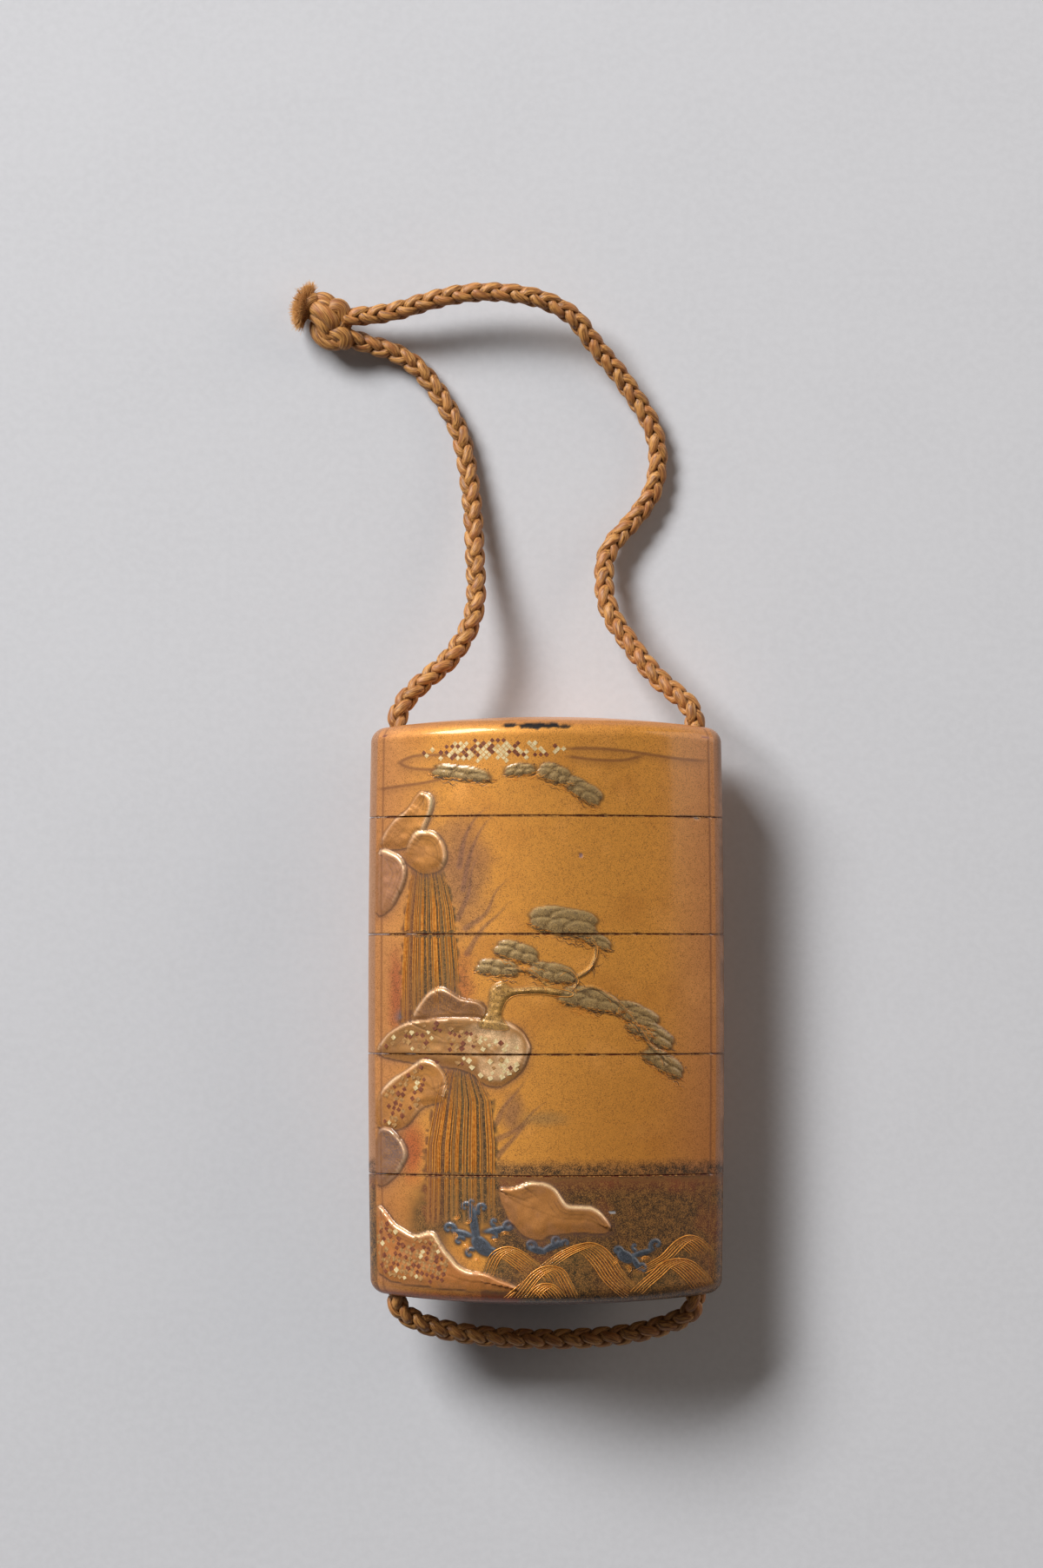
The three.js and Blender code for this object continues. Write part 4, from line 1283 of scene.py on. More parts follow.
def end_rows(shell, end):
    """The rounded edge and domed end of the lid (end 1) or the base (end -1)."""
    rows = []
    x0, z0 = lens_ring(CASE_LENS)
    start = HALF_HEIGHT - dome_drop(x0, z0) - EDGE_RADIUS
    for angle in np.radians(np.linspace(0, 90, EDGE_ROWS + 1))[1:]:
        x, z = lens_ring(CASE_LENS, -EDGE_RADIUS * (1 - math.cos(angle)))
        y = HALF_HEIGHT - dome_drop(x, z) - EDGE_RADIUS * (1 - math.sin(angle))
        rows.append((x, z, y, start + EDGE_RADIUS * angle))
    rim_x, rim_z = lens_ring(CASE_LENS, -EDGE_RADIUS)
    rim = start + EDGE_RADIUS * math.pi / 2
    for share in np.linspace(1, 0.04, CAP_ROWS + 1)[1:]:
        x, z = rim_x * share, rim_z * share
        rows.append((x, z, HALF_HEIGHT - dome_drop(x, z), rim + (1 - share) * 12))
    for x, z, y, unrolled in rows:
        bare = np.max(wear_amount(x, end * unrolled), axis=0) * (ZONE == FRONT)
        y = y - 0.1 * bare
        shell.add(x * bow_at(y), z, end * y, SKIN_SLOT, end * unrolled)


def case_shell(number):
    """All of one piece's rings, and the heights of its lower and upper seam edges."""
    is_lid, is_base = number == 0, number == len(PIECES) - 1
    bounds = [2 * HALF_HEIGHT, *SEAMS, -2 * HALF_HEIGHT]
    low, high = bounds[number + 1] + SEAM_GAP / 2, bounds[number] - SEAM_GAP / 2
    recess_top = low + RISER_HEIGHT + SEAM_GAP + FIT_GAP
    recess_grow = RISER_WALL + FIT_GAP
    x, z = lens_ring(CASE_LENS)
    edge_start = HALF_HEIGHT - dome_drop(x, z) - EDGE_RADIUS
    shell = Shell()
    if is_lid:
        ceiling = HALF_HEIGHT - END_WALL
        for share in (0.03, 0.5, 0.97):
            shell.inner(0, ceiling, share)
        for grow, y in ((-0.1, ceiling), (0, ceiling - 0.5), (0, recess_top), (recess_grow, recess_top)):
            shell.inner(grow, y)
    else:
        floor = -HALF_HEIGHT + END_WALL if is_base else recess_top + FLOOR
        top = high + RISER_HEIGHT
        for share in (0.03, 0.5, 0.97):
            shell.inner(0, floor, share)
        steps = [(-0.1, floor), (0, floor + 0.5), (0, top - 0.15), (0.15, top), (RISER_WALL - 0.15, top)]
        steps += [(RISER_WALL, top - 0.15), (RISER_WALL, high + 0.1), (RISER_WALL + 0.1, high)]
        for grow, y in steps:
            shell.inner(grow, y)
    skin_low = -edge_start if is_base else np.full(x.shape, low + LIP)
    skin_high = edge_start if is_lid else np.full(x.shape, high - LIP)
    if is_lid:
        for y in (recess_top - 0.1, low):
            shell.inner(recess_grow, y)
        shell.inner(-LIP, low, shape=CASE_LENS)
        skin_rows(shell, skin_low, skin_high)
        end_rows(shell, 1)
    else:
        shell.inner(-LIP, high, shape=CASE_LENS)
        skin_rows(shell, skin_high, skin_low)
        if is_base:
            end_rows(shell, -1)
        else:
            shell.inner(-LIP, low, shape=CASE_LENS)
            shell.inner(recess_grow, low)
            shell.inner(recess_grow, recess_top - 0.1)
            shell.inner(recess_grow - 0.1, recess_top)
            for share in (0.97, 0.5, 0.03):
                shell.inner(recess_grow, recess_top, share)
    return shell, low, high


def paint_shell(shell, low, high):
    """Ground and powder colours for every point of a shell."""
    points = np.array(shell.rings)
    picture_y = np.array(shell.picture_y)
    skin = np.array(shell.slots) == SKIN_SLOT
    flat_x, _ = lens_ring(CASE_LENS)
    rows = picture_y.shape[0]
    x = np.broadcast_to(flat_x, picture_y.shape)
    zone = np.broadcast_to(ZONE, picture_y.shape)
    is_skin = np.broadcast_to(skin[:, None], picture_y.shape)
    ground, powder = np.zeros((rows, RING_STEPS, 4)), np.zeros((rows, RING_STEPS, 4))
    for chosen, painter in (
        (is_skin & (zone == FRONT), paint_front),
        (is_skin & (zone == BACK), paint_back),
        (is_skin & ((zone == RIGHT) | (zone == LEFT)), paint_side),
    ):
        paint = Paint(int(chosen.sum()))
        painter(paint, x[chosen], picture_y[chosen], low, high)
        ground[chosen] = np.column_stack([np.minimum(paint.ground / LIGHT_ON_FRONT, 0.95), paint.gloss])
        powder[chosen] = np.column_stack([np.minimum(paint.powder / LIGHT_ON_FRONT, 0.95), paint.density])
    ground[~is_skin] = (*RED_UNDERCOAT, 0.5)
    powder[~is_skin] = (*PALE_GRAIN, 0.2)
    return points, ground, powder


def paint_front(paint, x, y, low, high):
    picture = Picture(x, y)
    paint_ground(paint, x, y, 101)
    paint_mist(paint, x, y)
    paint_shades(paint, x, y)
    paint_sea(paint, x, y)
    paint_falls(paint, x, y)
    paint_swells(paint, x, y)
    paint.lay(0.7 * fade(picture.foam, -0.5, -0.05), SEA_DARK)
    paint.lay(0.95 * fade(picture.foam, -0.1, 0.06), FOAM_GREY, BLUE_GREY, 0.3)
    paint.lay(0.5 * np.exp(-(((picture.foam - 0.12) / 0.08) ** 2)), FOAM_PALE)
    paint_rocks(paint, picture)
    paint_pine(paint, picture)
    paint.lay(0.7 * np.exp(-(((np.abs(x) - 24.7) / 0.14) ** 2)), MIST_BROWN)
    paint_edges(paint, x, y, low, high)
    for amount, (_, _, _, _, colour) in zip(wear_amount(x, y), WEAR):
        paint.lay(amount, colour, colour, 0.1, 0.8)


def paint_side(paint, x, y, low, high):
    paint_ground(paint, x, y, 107)
    # Painted reflection: the steep sides are laid greyer, as where they mirror the pale paper.
    paint.lay(np.full(x.shape, 0.8), SIDE_REFLECTION_GREY)
    paint_sea(paint, x, y, across_all=True)
    paint_edges(paint, x, y, low, high)


def paint_back(paint, x, y, low, high):
    paint_ground(paint, x, y, 113)
    paint_mist(paint, -x, y)
    paint_sea(paint, x, y, across_all=True)
    paint_swells(paint, -x, y)
    paint_edges(paint, x, y, low, high)


def color_attribute(mesh, name, rows):
    layer = mesh.attributes.new(name, "FLOAT_COLOR", "POINT")
    layer.data.foreach_set("color", np.asarray(rows, np.float32).ravel())


def channel_cutter(material):
    """Both cord channels with their flared mouths, as one tool for cutting."""
    soup = Soup()
    flare = CHANNEL_MOUTH_RADIUS - CHANNEL_RADIUS
    mouth = HALF_HEIGHT - dome_drop(CHANNEL_X, 0)
    around = np.linspace(0, 2 * math.pi, 32, endpoint=False)
    half = [(0, CHANNEL_RADIUS), (mouth - CHANNEL_MOUTH_DEPTH, CHANNEL_RADIUS)]
    for share in np.linspace(0.25, 1, 4):
        half.append((mouth - CHANNEL_MOUTH_DEPTH * (1 - share), CHANNEL_RADIUS + flare * share**2))
    half.append((mouth + CHANNEL_MOUTH_DEPTH, CHANNEL_MOUTH_RADIUS + 2 * flare))
    half.append((HALF_HEIGHT + 4, CHANNEL_MOUTH_RADIUS + 2 * flare))
    profile = [(-y, r) for y, r in half[:0:-1]] + half
    for side in (-1, 1):
        rings = np.array([
            np.stack([
                side * CHANNEL_X + r * np.cos(around),
                np.full(around.shape, y),
                Z - r * np.sin(around),
            ], 1)
            for y, r in profile
        ])
        soup.add_tube(rings, rings)
    mesh = soup.mesh("channels")
    mesh.attributes.remove(mesh.attributes["fibre"])
    color_attribute(mesh, "ground", np.tile((*RED_UNDERCOAT * 0.6, 0.4), (len(mesh.vertices), 1)))
    color_attribute(mesh, "powder", np.tile((*BLACK_LACQUER, 0.4), (len(mesh.vertices), 1)))
    mesh.materials.append(material)
    tool = bpy.data.objects.new("channels", mesh)
    bpy.context.scene.collection.objects.link(tool)
    return tool


def make_case_piece(number, skin_material, inner_material, tool):
    name = PIECES[number]
    shell, low, high = case_shell(number)
    points, ground, powder = paint_shell(shell, low, high)
    rows = len(points)
    slots = np.array(shell.slots)
    quads = strip_faces(rows, RING_STEPS)
    ring = np.arange(RING_STEPS)
    after = (ring + 1) % RING_STEPS
    flat = points.reshape(-1, 3)
    middles = np.stack([points[0].mean(0), points[-1].mean(0)])
    last = (rows - 1) * RING_STEPS
    start = np.stack([after, ring, np.full(RING_STEPS, len(flat))], 1)
    stop = np.stack([ring + last, after + last, np.full(RING_STEPS, len(flat) + 1)], 1)
    triangles = np.vstack([quads[:, [0, 1, 2]], quads[:, [0, 2, 3]], start, stop])
    if signed_volume(np.vstack([flat, middles]), triangles) < 0:
        triangles = triangles[:, ::-1]
    mesh = mesh_from_arrays(name, np.vstack([flat, middles]), triangles)
    for layer, rows_of in (("ground", ground), ("powder", powder)):
        flat_rows = rows_of.reshape(-1, 4)
        ends = [flat_rows[:RING_STEPS].mean(0), flat_rows[-RING_STEPS:].mean(0)]
        color_attribute(mesh, layer, np.vstack([flat_rows, ends]))
    mesh.materials.append(skin_material)
    mesh.materials.append(inner_material)
    between = np.where((slots[:-1] == SKIN_SLOT) & (slots[1:] == SKIN_SLOT), SKIN_SLOT, INNER_SLOT)
    quad_slots = np.repeat(between, RING_STEPS)
    ends = np.repeat([slots[0], slots[-1]], RING_STEPS)
    all_slots = np.concatenate([quad_slots, quad_slots, ends]).astype(np.int32)
    mesh.polygons.foreach_set("material_index", all_slots)
    rough = bpy.data.objects.new(name + "_uncut", mesh)
    bpy.context.scene.collection.objects.link(rough)
    cut = rough.modifiers.new("channels", "BOOLEAN")
    cut.operation = "DIFFERENCE"
    cut.solver = "MANIFOLD"
    cut.object = tool
    made = evaluated_mesh(rough, name + "_lacquer")
    bpy.data.objects.remove(rough)
    made.set_sharp_from_angle(angle=math.radians(40))
    piece = place(name + "_lacquer", made)
    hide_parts(name)
    return piece


def signed_volume(points, triangles):
    a, b, c = (points[triangles[:, k]] for k in range(3))
    return float((a * np.cross(b, c)).sum() / 6)


def evaluated_mesh(thing, name):
    """The thing's mesh with its modifiers applied, as plain data."""
    bpy.context.view_layer.update()
    shown = thing.evaluated_get(bpy.context.evaluated_depsgraph_get())
    mesh = bpy.data.meshes.new_from_object(shown)
    mesh.name = name
    return mesh


# ---- Materials ------------------------------------------------------------------------------------------


class Nodes:
    """A short way to write node trees: add a node, set its sockets, link its output on."""

    def __init__(self, tree):
        self.tree = tree

    def add(self, kind, settings=None, **sockets):
        node = self.tree.nodes.new(kind)
        for name, value in (settings or {}).items():
            setattr(node, name, value)
        for name, value in sockets.items():
            self.feed(node, name, value)
        return node

    def feed(self, node, name, value):
        by_number = name[0] == "_" and name[1:].isdigit()
        socket = node.inputs[int(name[1:]) if by_number else name.replace("_", " ")]
        if isinstance(value, bpy.types.NodeSocket):
            self.tree.links.new(value, socket)
        else:
            socket.default_value = value

    def math(self, operation, *values):
        node = self.add("ShaderNodeMath", {"operation": operation})
        for number, value in enumerate(values):
            self.feed(node, f"_{number}", value)
        return node.outputs[0]

    def mix(self, share, first, second, blend="MIX"):
        node = self.add("ShaderNodeMix", {"data_type": "RGBA", "blend_type": blend})
        for number, value in ((0, share), (6, first), (7, second)):
            self.feed(node, f"_{number}", value)
        return node.outputs[2]

    def scaled(self, vector, scale):
        node = self.add("ShaderNodeVectorMath", {"operation": "MULTIPLY"})
        self.feed(node, "_0", vector)
        self.feed(node, "_1", scale if isinstance(scale, tuple) else (scale,) * 3)
        return node.outputs[0]

    def bump(self, height, strength, distance, over=None):
        """The normal that a height (in millimetres at 1) gives, over another normal where one is named."""
        node = self.add("ShaderNodeBump", Height=height, Strength=strength, Distance=distance * MM)
        if over is not None:
            self.feed(node, "Normal", over)
        return node.outputs[0]

    def range(self, value, low, high, to_low=0.0, to_high=1.0):
        node = self.add("ShaderNodeMapRange", {"interpolation_type": "SMOOTHSTEP"})
        for number, item in enumerate((value, low, high, to_low, to_high)):
            self.feed(node, f"_{number}", item)
        return node.outputs[0]


def rgba(colour):
    return (*colour, 1)


def new_material(name):
    material = bpy.data.materials.new(name)
    material.use_nodes = True
    material.node_tree.nodes.clear()
    nodes = Nodes(material.node_tree)
    shader = nodes.add("ShaderNodeBsdfPrincipled")
    output = nodes.add("ShaderNodeOutputMaterial")
    nodes.tree.links.new(shader.outputs[0], output.inputs[0])
    return material, nodes, shader


def new_group(name, inputs, outputs):
    tree = bpy.data.node_groups.new(name, "ShaderNodeTree")
    for label, kind, value in inputs:
        socket = tree.interface.new_socket(label, in_out="INPUT", socket_type=kind)
        if value is not None:
            socket.default_value = value
    for label, kind in outputs:
        tree.interface.new_socket(label, in_out="OUTPUT", socket_type=kind)
    nodes = Nodes(tree)
    return tree, nodes, nodes.add("NodeGroupInput").outputs, nodes.add("NodeGroupOutput")


def make_sprinkled_powder():
    """Metal powder sprinkled in wet lacquer: grains of one colour over a ground of another."""
    tree, nodes, given, result = new_group(
        "sprinkled_powder",
        [
            ("Ground", "NodeSocketColor", None),
            ("Powder", "NodeSocketColor", None),
            ("Density", "NodeSocketFloat", 0.3),
            ("Grain Size", "NodeSocketFloat", 0.11),
        ],
        [("Color", "NodeSocketColor"), ("Height", "NodeSocketFloat")],
    )
    place_at = nodes.add("ShaderNodeTexCoord").outputs["Object"]
    per_grain = nodes.math("DIVIDE", 1 / MM, given["Grain Size"])
    grains = nodes.add("ShaderNodeTexVoronoi", Vector=place_at, Scale=per_grain)
    fine_scale = nodes.math("MULTIPLY", per_grain, 1.9)
    fine = nodes.add("ShaderNodeTexVoronoi", Vector=place_at, Scale=fine_scale)
    drift = nodes.add("ShaderNodeTexNoise", Vector=place_at, Scale=1100.0, Detail=2.0)
    pick = nodes.add("ShaderNodeSeparateColor", Color=grains.outputs["Color"]).outputs
    fine_pick = nodes.add("ShaderNodeSeparateColor", Color=fine.outputs["Color"]).outputs
    uneven = nodes.range(drift.outputs[0], 0.3, 0.7, 0.55, 1.45)
    density = nodes.math("MULTIPLY", given["Density"], uneven)
    coarse_on = nodes.math("LESS_THAN", pick[0], density)
    fine_on = nodes.math("LESS_THAN", fine_pick[0], density)
    share = nodes.math("ADD", nodes.math("MULTIPLY", coarse_on, 0.55), nodes.math("MULTIPLY", fine_on, 0.4))
    mixed = nodes.mix(share, given["Ground"], given["Powder"])
    flicker = nodes.range(fine_pick[1], 0.0, 1.0, 0.86, 1.14)
    flicker_colour = nodes.add("ShaderNodeCombineColor", Red=flicker, Green=flicker, Blue=flicker).outputs[0]
    nodes.feed(result, "Color", nodes.mix(1.0, mixed, flicker_colour, "MULTIPLY"))
    nodes.feed(result, "Height", nodes.math("ADD", share, nodes.math("MULTIPLY", fine_pick[2], 0.4)))
    return tree


def use_group(nodes, tree, **sockets):
    node = nodes.add("ShaderNodeGroup")
    node.node_tree = tree
    for name, value in sockets.items():
        nodes.feed(node, name, value)
    return node.outputs


def make_powder_lacquer(powder_group):
    """The case's skin: painted ground, sprinkled powder, and a thin clear coat rubbed to a satin."""
    material, nodes, shader = new_material("gold_powder_lacquer")
    ground = nodes.add("ShaderNodeAttribute", {"attribute_name": "ground"}).outputs
    powder = nodes.add("ShaderNodeAttribute", {"attribute_name": "powder"}).outputs
    sprinkled = use_group(
        nodes, powder_group, Ground=ground["Color"], Powder=powder["Color"], Density=powder["Alpha"]
    )
    place_at = nodes.add("ShaderNodeTexCoord").outputs["Object"]
    ripple = nodes.add("ShaderNodeTexNoise", Vector=place_at, Scale=420.0, Detail=3.0)
    nodes.feed(shader, "Base_Color", sprinkled["Color"])
    nodes.feed(shader, "Metallic", 0.45)
    nodes.feed(shader, "Diffuse_Roughness", 1.0)
    nodes.feed(shader, "Roughness", nodes.range(ground["Alpha"], 0.0, 1.0, 0.72, 0.4))
    nodes.feed(shader, "Coat_Weight", nodes.range(ground["Alpha"], 0.2, 1.0, 0.35, 1.0))
    nodes.feed(shader, "Coat_Roughness", 0.14)
    rippled = nodes.bump(ripple.outputs[0], 0.5, 0.03)
    nodes.feed(shader, "Normal", nodes.bump(sprinkled["Height"], 0.35, 0.012, over=rippled))
    return material


def make_inner_nashiji(powder_group):
    """The hollows and risers: red-brown lacquer with gold flakes sunk in it."""
    material, nodes, shader = new_material("inner_nashiji")
    sprinkled = use_group(
        nodes,
        powder_group,
        Ground=rgba(RED_UNDERCOAT),
        Powder=rgba(PALE_GRAIN),
        Density=0.3,
        Grain_Size=0.3,
    )
    nodes.feed(shader, "Base_Color", sprinkled["Color"])
    nodes.feed(shader, "Metallic", 0.2)
    nodes.feed(shader, "Roughness", 0.35)
    nodes.feed(shader, "Coat_Weight", 0.8)
    nodes.feed(shader, "Normal", nodes.bump(sprinkled["Height"], 0.3, 0.02))
    return material


def make_silk():
    """Ochre silk: fibres and yarns along each strand, with painted light and shade: paler where they stand
    proud, darker in the gaps.
    """
    material, nodes, shader = new_material("ochre_silk")
    fibre = nodes.add("ShaderNodeAttribute", {"attribute_name": "fibre"}).outputs["Vector"]
    threads, yarns, hanks = (
        nodes.add("ShaderNodeTexNoise", Vector=nodes.scaled(fibre, fineness), Scale=1.0, Detail=detail)
        for fineness, detail in (((11.0, 11.0, 0.9), 2.0), ((3.6, 3.6, 0.4), 1.0), ((1.0, 1.0, 0.35), 1.0))
    )
    outer = nodes.add("ShaderNodeSeparateXYZ", Vector=fibre).outputs["Y"]
    both = nodes.math("ADD", threads.outputs[0], yarns.outputs[0])
    base = nodes.mix(nodes.range(both, 0.78, 1.22), rgba(tone(120, 72, 28)), rgba(tone(204, 146, 78)))
    dyed = nodes.mix(nodes.range(hanks.outputs[0], 0.4, 0.7, 0.0, 0.5), base, rgba(tone(172, 104, 56)))
    # Painted shade: the silk darkens where its fibres lie low, between stitches and lobes and in the knot's
    # hollow.
    deep = nodes.mix(nodes.range(outer, -0.08, 0.66), rgba(tone(66, 34, 12)), dyed)
    frayed = nodes.mix(nodes.range(outer, 0.88, 1.2), deep, rgba(tone(226, 172, 106)))
    nodes.feed(shader, "Base_Color", frayed)
    nodes.feed(shader, "Roughness", 0.5)
    nodes.feed(shader, "Sheen_Weight", 0.15)
    nodes.feed(shader, "Sheen_Roughness", 0.4)
    nodes.feed(shader, "Sheen_Tint", rgba(tone(240, 204, 140)))
    nodes.feed(shader, "Normal", nodes.bump(both, 0.6, 0.09))
    return material


def make_cut_metal(name, pale, dark, metallic, roughness):
    """Small pieces and fine lines of cut gold leaf or coloured lacquer, each a little uneven in tone."""
    material, nodes, shader = new_material(name)
    place_at = nodes.add("ShaderNodeTexCoord").outputs["Object"]
    uneven = nodes.add("ShaderNodeTexNoise", Vector=place_at, Scale=2600.0, Detail=2.0)
    share = nodes.range(uneven.outputs[0], 0.3, 0.7)
    nodes.feed(shader, "Base_Color", nodes.mix(share, rgba(dark), rgba(pale)))
    nodes.feed(shader, "Metallic", metallic)
    nodes.feed(shader, "Roughness", roughness)
    nodes.feed(shader, "Coat_Weight", 0.4)
    nodes.feed(shader, "Normal", nodes.bump(uneven.outputs[0], 0.4, 0.01))
    return material


def make_paper():
    material, nodes, shader = new_material("pale_paper")
    place_at = nodes.add("ShaderNodeTexCoord").outputs["Object"]
    tooth = nodes.add("ShaderNodeTexNoise", Vector=place_at, Scale=900.0, Detail=4.0)
    pulp = nodes.add("ShaderNodeTexNoise", Vector=place_at, Scale=60.0, Detail=2.0)
    low, middle, high = (rgba(share * np.array(PAPER_COLOUR)) for share in (0.96, 1.0, 1.03))
    base = nodes.mix(nodes.range(tooth.outputs[0], 0.3, 0.7), low, middle)
    pale = nodes.mix(nodes.range(pulp.outputs[0], 0.3, 0.7, 0.0, 0.25), base, high)
    nodes.feed(shader, "Base_Color", pale)
    nodes.feed(shader, "Roughness", 0.9)
    nodes.feed(shader, "Normal", nodes.bump(tooth.outputs[0], 0.25, 0.08))
    return material


# ---- Geometry Nodes: strokes, cut squares and bristles --------------------------------------------------


def new_geometry_tree(name, inputs):
    tree = bpy.data.node_groups.new(name, "GeometryNodeTree")
    tree.interface.new_socket("Geometry", in_out="INPUT", socket_type="NodeSocketGeometry")
    for label, kind, value in inputs:
        socket = tree.interface.new_socket(label, in_out="INPUT", socket_type=kind)
        if value is not None:
            socket.default_value = value
    tree.interface.new_socket("Geometry", in_out="OUTPUT", socket_type="NodeSocketGeometry")
    nodes = Nodes(tree)
    return tree, nodes, nodes.add("NodeGroupInput").outputs, nodes.add("NodeGroupOutput")


def named(nodes, name, kind):
    node = nodes.add("GeometryNodeInputNamedAttribute", {"data_type": kind})
    nodes.feed(node, "Name", name)
    return node.outputs["Attribute"]


def finish_tree(nodes, geometry, result, material_socket):
    real = nodes.add("GeometryNodeRealizeInstances", Geometry=geometry)
    painted = nodes.add("GeometryNodeSetMaterial", Geometry=real.outputs[0], Material=material_socket)
    smooth = nodes.add("GeometryNodeSetShadeSmooth", Geometry=painted.outputs[0])
    nodes.feed(result, "Geometry", smooth.outputs[0])


def stroke_tree():
    """Raised lines: a round section swept along each guide, as thick as the guide's `thick` says."""
    tree, nodes, given, result = new_geometry_tree(
        "raised_strokes", [("Sides", "NodeSocketInt", 5), ("Material", "NodeSocketMaterial", None)]
    )
    curve = nodes.add("GeometryNodeMeshToCurve", Mesh=given["Geometry"])
    section = nodes.add("GeometryNodeCurvePrimitiveCircle", Resolution=given["Sides"], Radius=1.0)
    swept = nodes.add("GeometryNodeCurveToMesh", Curve=curve.outputs[0], Profile_Curve=section.outputs[0])
    nodes.feed(swept, "Fill_Caps", True)
    nodes.feed(swept, "Scale", named(nodes, "thick", "FLOAT"))
    finish_tree(nodes, swept.outputs[0], result, given["Material"])
    return tree


def inlay_tree():
    """Cut squares set flush in the lacquer: one on each guide point, turned and sized by its attributes."""
    inputs = [("Thickness", "NodeSocketFloat", 0.06 * MM), ("Material", "NodeSocketMaterial", None)]
    tree, nodes, given, result = new_geometry_tree("cut_squares", inputs)
    size = nodes.add("ShaderNodeCombineXYZ", X=1.0, Y=1.0, Z=1.0)
    square = nodes.add("GeometryNodeMeshCube", Size=size.outputs[0])
    out = named(nodes, "facing", "FLOAT_VECTOR")
    facing = nodes.add("FunctionNodeAlignRotationToVector", {"axis": "Z"}, Vector=out)
    spin = nodes.add("FunctionNodeAxisAngleToRotation", Axis=(0, 0, 1), Angle=named(nodes, "turn", "FLOAT"))
    turned = nodes.add("FunctionNodeRotateRotation", {"rotation_space": "LOCAL"}, Rotation=facing.outputs[0])
    nodes.feed(turned, "Rotate_By", spin.outputs[0])
    wide = named(nodes, "size", "FLOAT")
    scale = nodes.add("ShaderNodeCombineXYZ", X=wide, Y=wide, Z=given["Thickness"])
    set_out = nodes.add(
        "GeometryNodeInstanceOnPoints",
        Points=given["Geometry"],
        Instance=square.outputs[0],
        Rotation=turned.outputs[0],
        Scale=scale.outputs[0],
    )
    real = nodes.add("GeometryNodeRealizeInstances", Geometry=set_out.outputs[0])
    painted = nodes.add("GeometryNodeSetMaterial", Geometry=real.outputs[0], Material=given["Material"])
    nodes.feed(result, "Geometry", painted.outputs[0])
    return tree


def guide_mesh(name, points, edges, **attributes):
    mesh = bpy.data.meshes.new(name)
    mesh.from_pydata((np.asarray(points) * MM).tolist(), [tuple(edge) for edge in edges], [])
    for label, rows in attributes.items():
        rows = np.asarray(rows, np.float32)
        kind, field = ("FLOAT", "value") if rows.ndim == 1 else ("FLOAT_VECTOR", "vector")
        mesh.attributes.new(label, kind, "POINT").data.foreach_set(field, rows.ravel())
    return mesh


def grow_from_guide(name, guide, tree, **values):
    """Runs a tree on a guide mesh and keeps only the plain mesh that it makes."""
    carrier = bpy.data.objects.new(name, guide)
    bpy.context.scene.collection.objects.link(carrier)
    modifier = carrier.modifiers.new("grow", "NODES")
    modifier.node_group = tree
    for item in tree.interface.items_tree:
        if item.in_out == "INPUT" and item.name in values:
            modifier[item.identifier] = values[item.name]
    made = evaluated_mesh(carrier, name)
    bpy.data.objects.remove(carrier)
    return place(name, made)


# ---- Fine work on the front: gold lines and cut squares -------------------------------------------------


def on_case(x, y, lift=0.0, back=False):
    """Points on the front (or back) of the case at picture coordinates, lifted off it, and the way out."""
    x, y = np.asarray(x, float), np.asarray(y, float)
    turn = np.arcsin(np.clip(x / ARC_RADIUS, -1, 1))
    height = 0.02 * clouds(x, y, 9.0, 3, 2) if back else relief_at(x, y)
    radius = ARC_RADIUS + height + lift
    facing = -1.0 if back else 1.0
    z = (radius * np.cos(turn) - ARC_CENTRE) * facing
    points = np.stack([radius * np.sin(turn) * bow_at(y), y, np.maximum(z + REST_HEIGHT, 0.12)], -1)
    return points, np.stack([np.sin(turn), 0 * y, facing * np.cos(turn)], -1)


LINE_STEP = 0.33


class FineLines:
    """Strokes in picture coordinates, cut at the seams and grown as one mesh for each case piece."""

    def __init__(self):
        self.strokes = []

    def add(self, line, thick, back=False, taper=0.35):
        line = np.asarray(line, float)
        along = np.concatenate([[0], np.cumsum(np.hypot(*np.diff(line, axis=0).T))])
        count = max(3, int(along[-1] / LINE_STEP) + 1)
        at = np.linspace(0, along[-1], count)
        share = at / along[-1]
        points = np.stack([np.interp(at, along, line[:, k]) for k in range(2)], 1)
        end = np.minimum(share, 1 - share) / max(taper, 1e-6)
        self.strokes.append((points, thick * np.clip(end, 0.25, 1.0), back))

    def grow(self, name, material, tree, lift=0.0):
        bounds = [HALF_HEIGHT - 1.6, *SEAMS, -HALF_HEIGHT + 1.2]
        for number, case_piece in enumerate(PIECES):
            low, high = bounds[number + 1] + 0.28, bounds[number] - 0.28
            points, edges, thick, total = [], [], [], 0
            for line, width, back in self.strokes:
                kept = (line[:, 1] > low) & (line[:, 1] < high) & (np.abs(line[:, 0]) < 25.2)
                for run in np.split(np.arange(len(line)), np.nonzero(np.diff(kept))[0] + 1):
                    if kept[run[0]] and len(run) > 2:
                        at, _ = on_case(line[run, 0], line[run, 1], lift, back)
                        points.append(at)
                        thick.append(width[run] * MM)
                        steps = total + np.arange(len(run))
                        edges.extend(zip(steps[:-1], steps[1:]))
                        total += len(run)
            if total:
                guide = guide_mesh(name, np.vstack(points), edges, thick=np.concatenate(thick))
                piece = grow_from_guide(f"{name}_{case_piece}", guide, tree, Material=material, Sides=5)


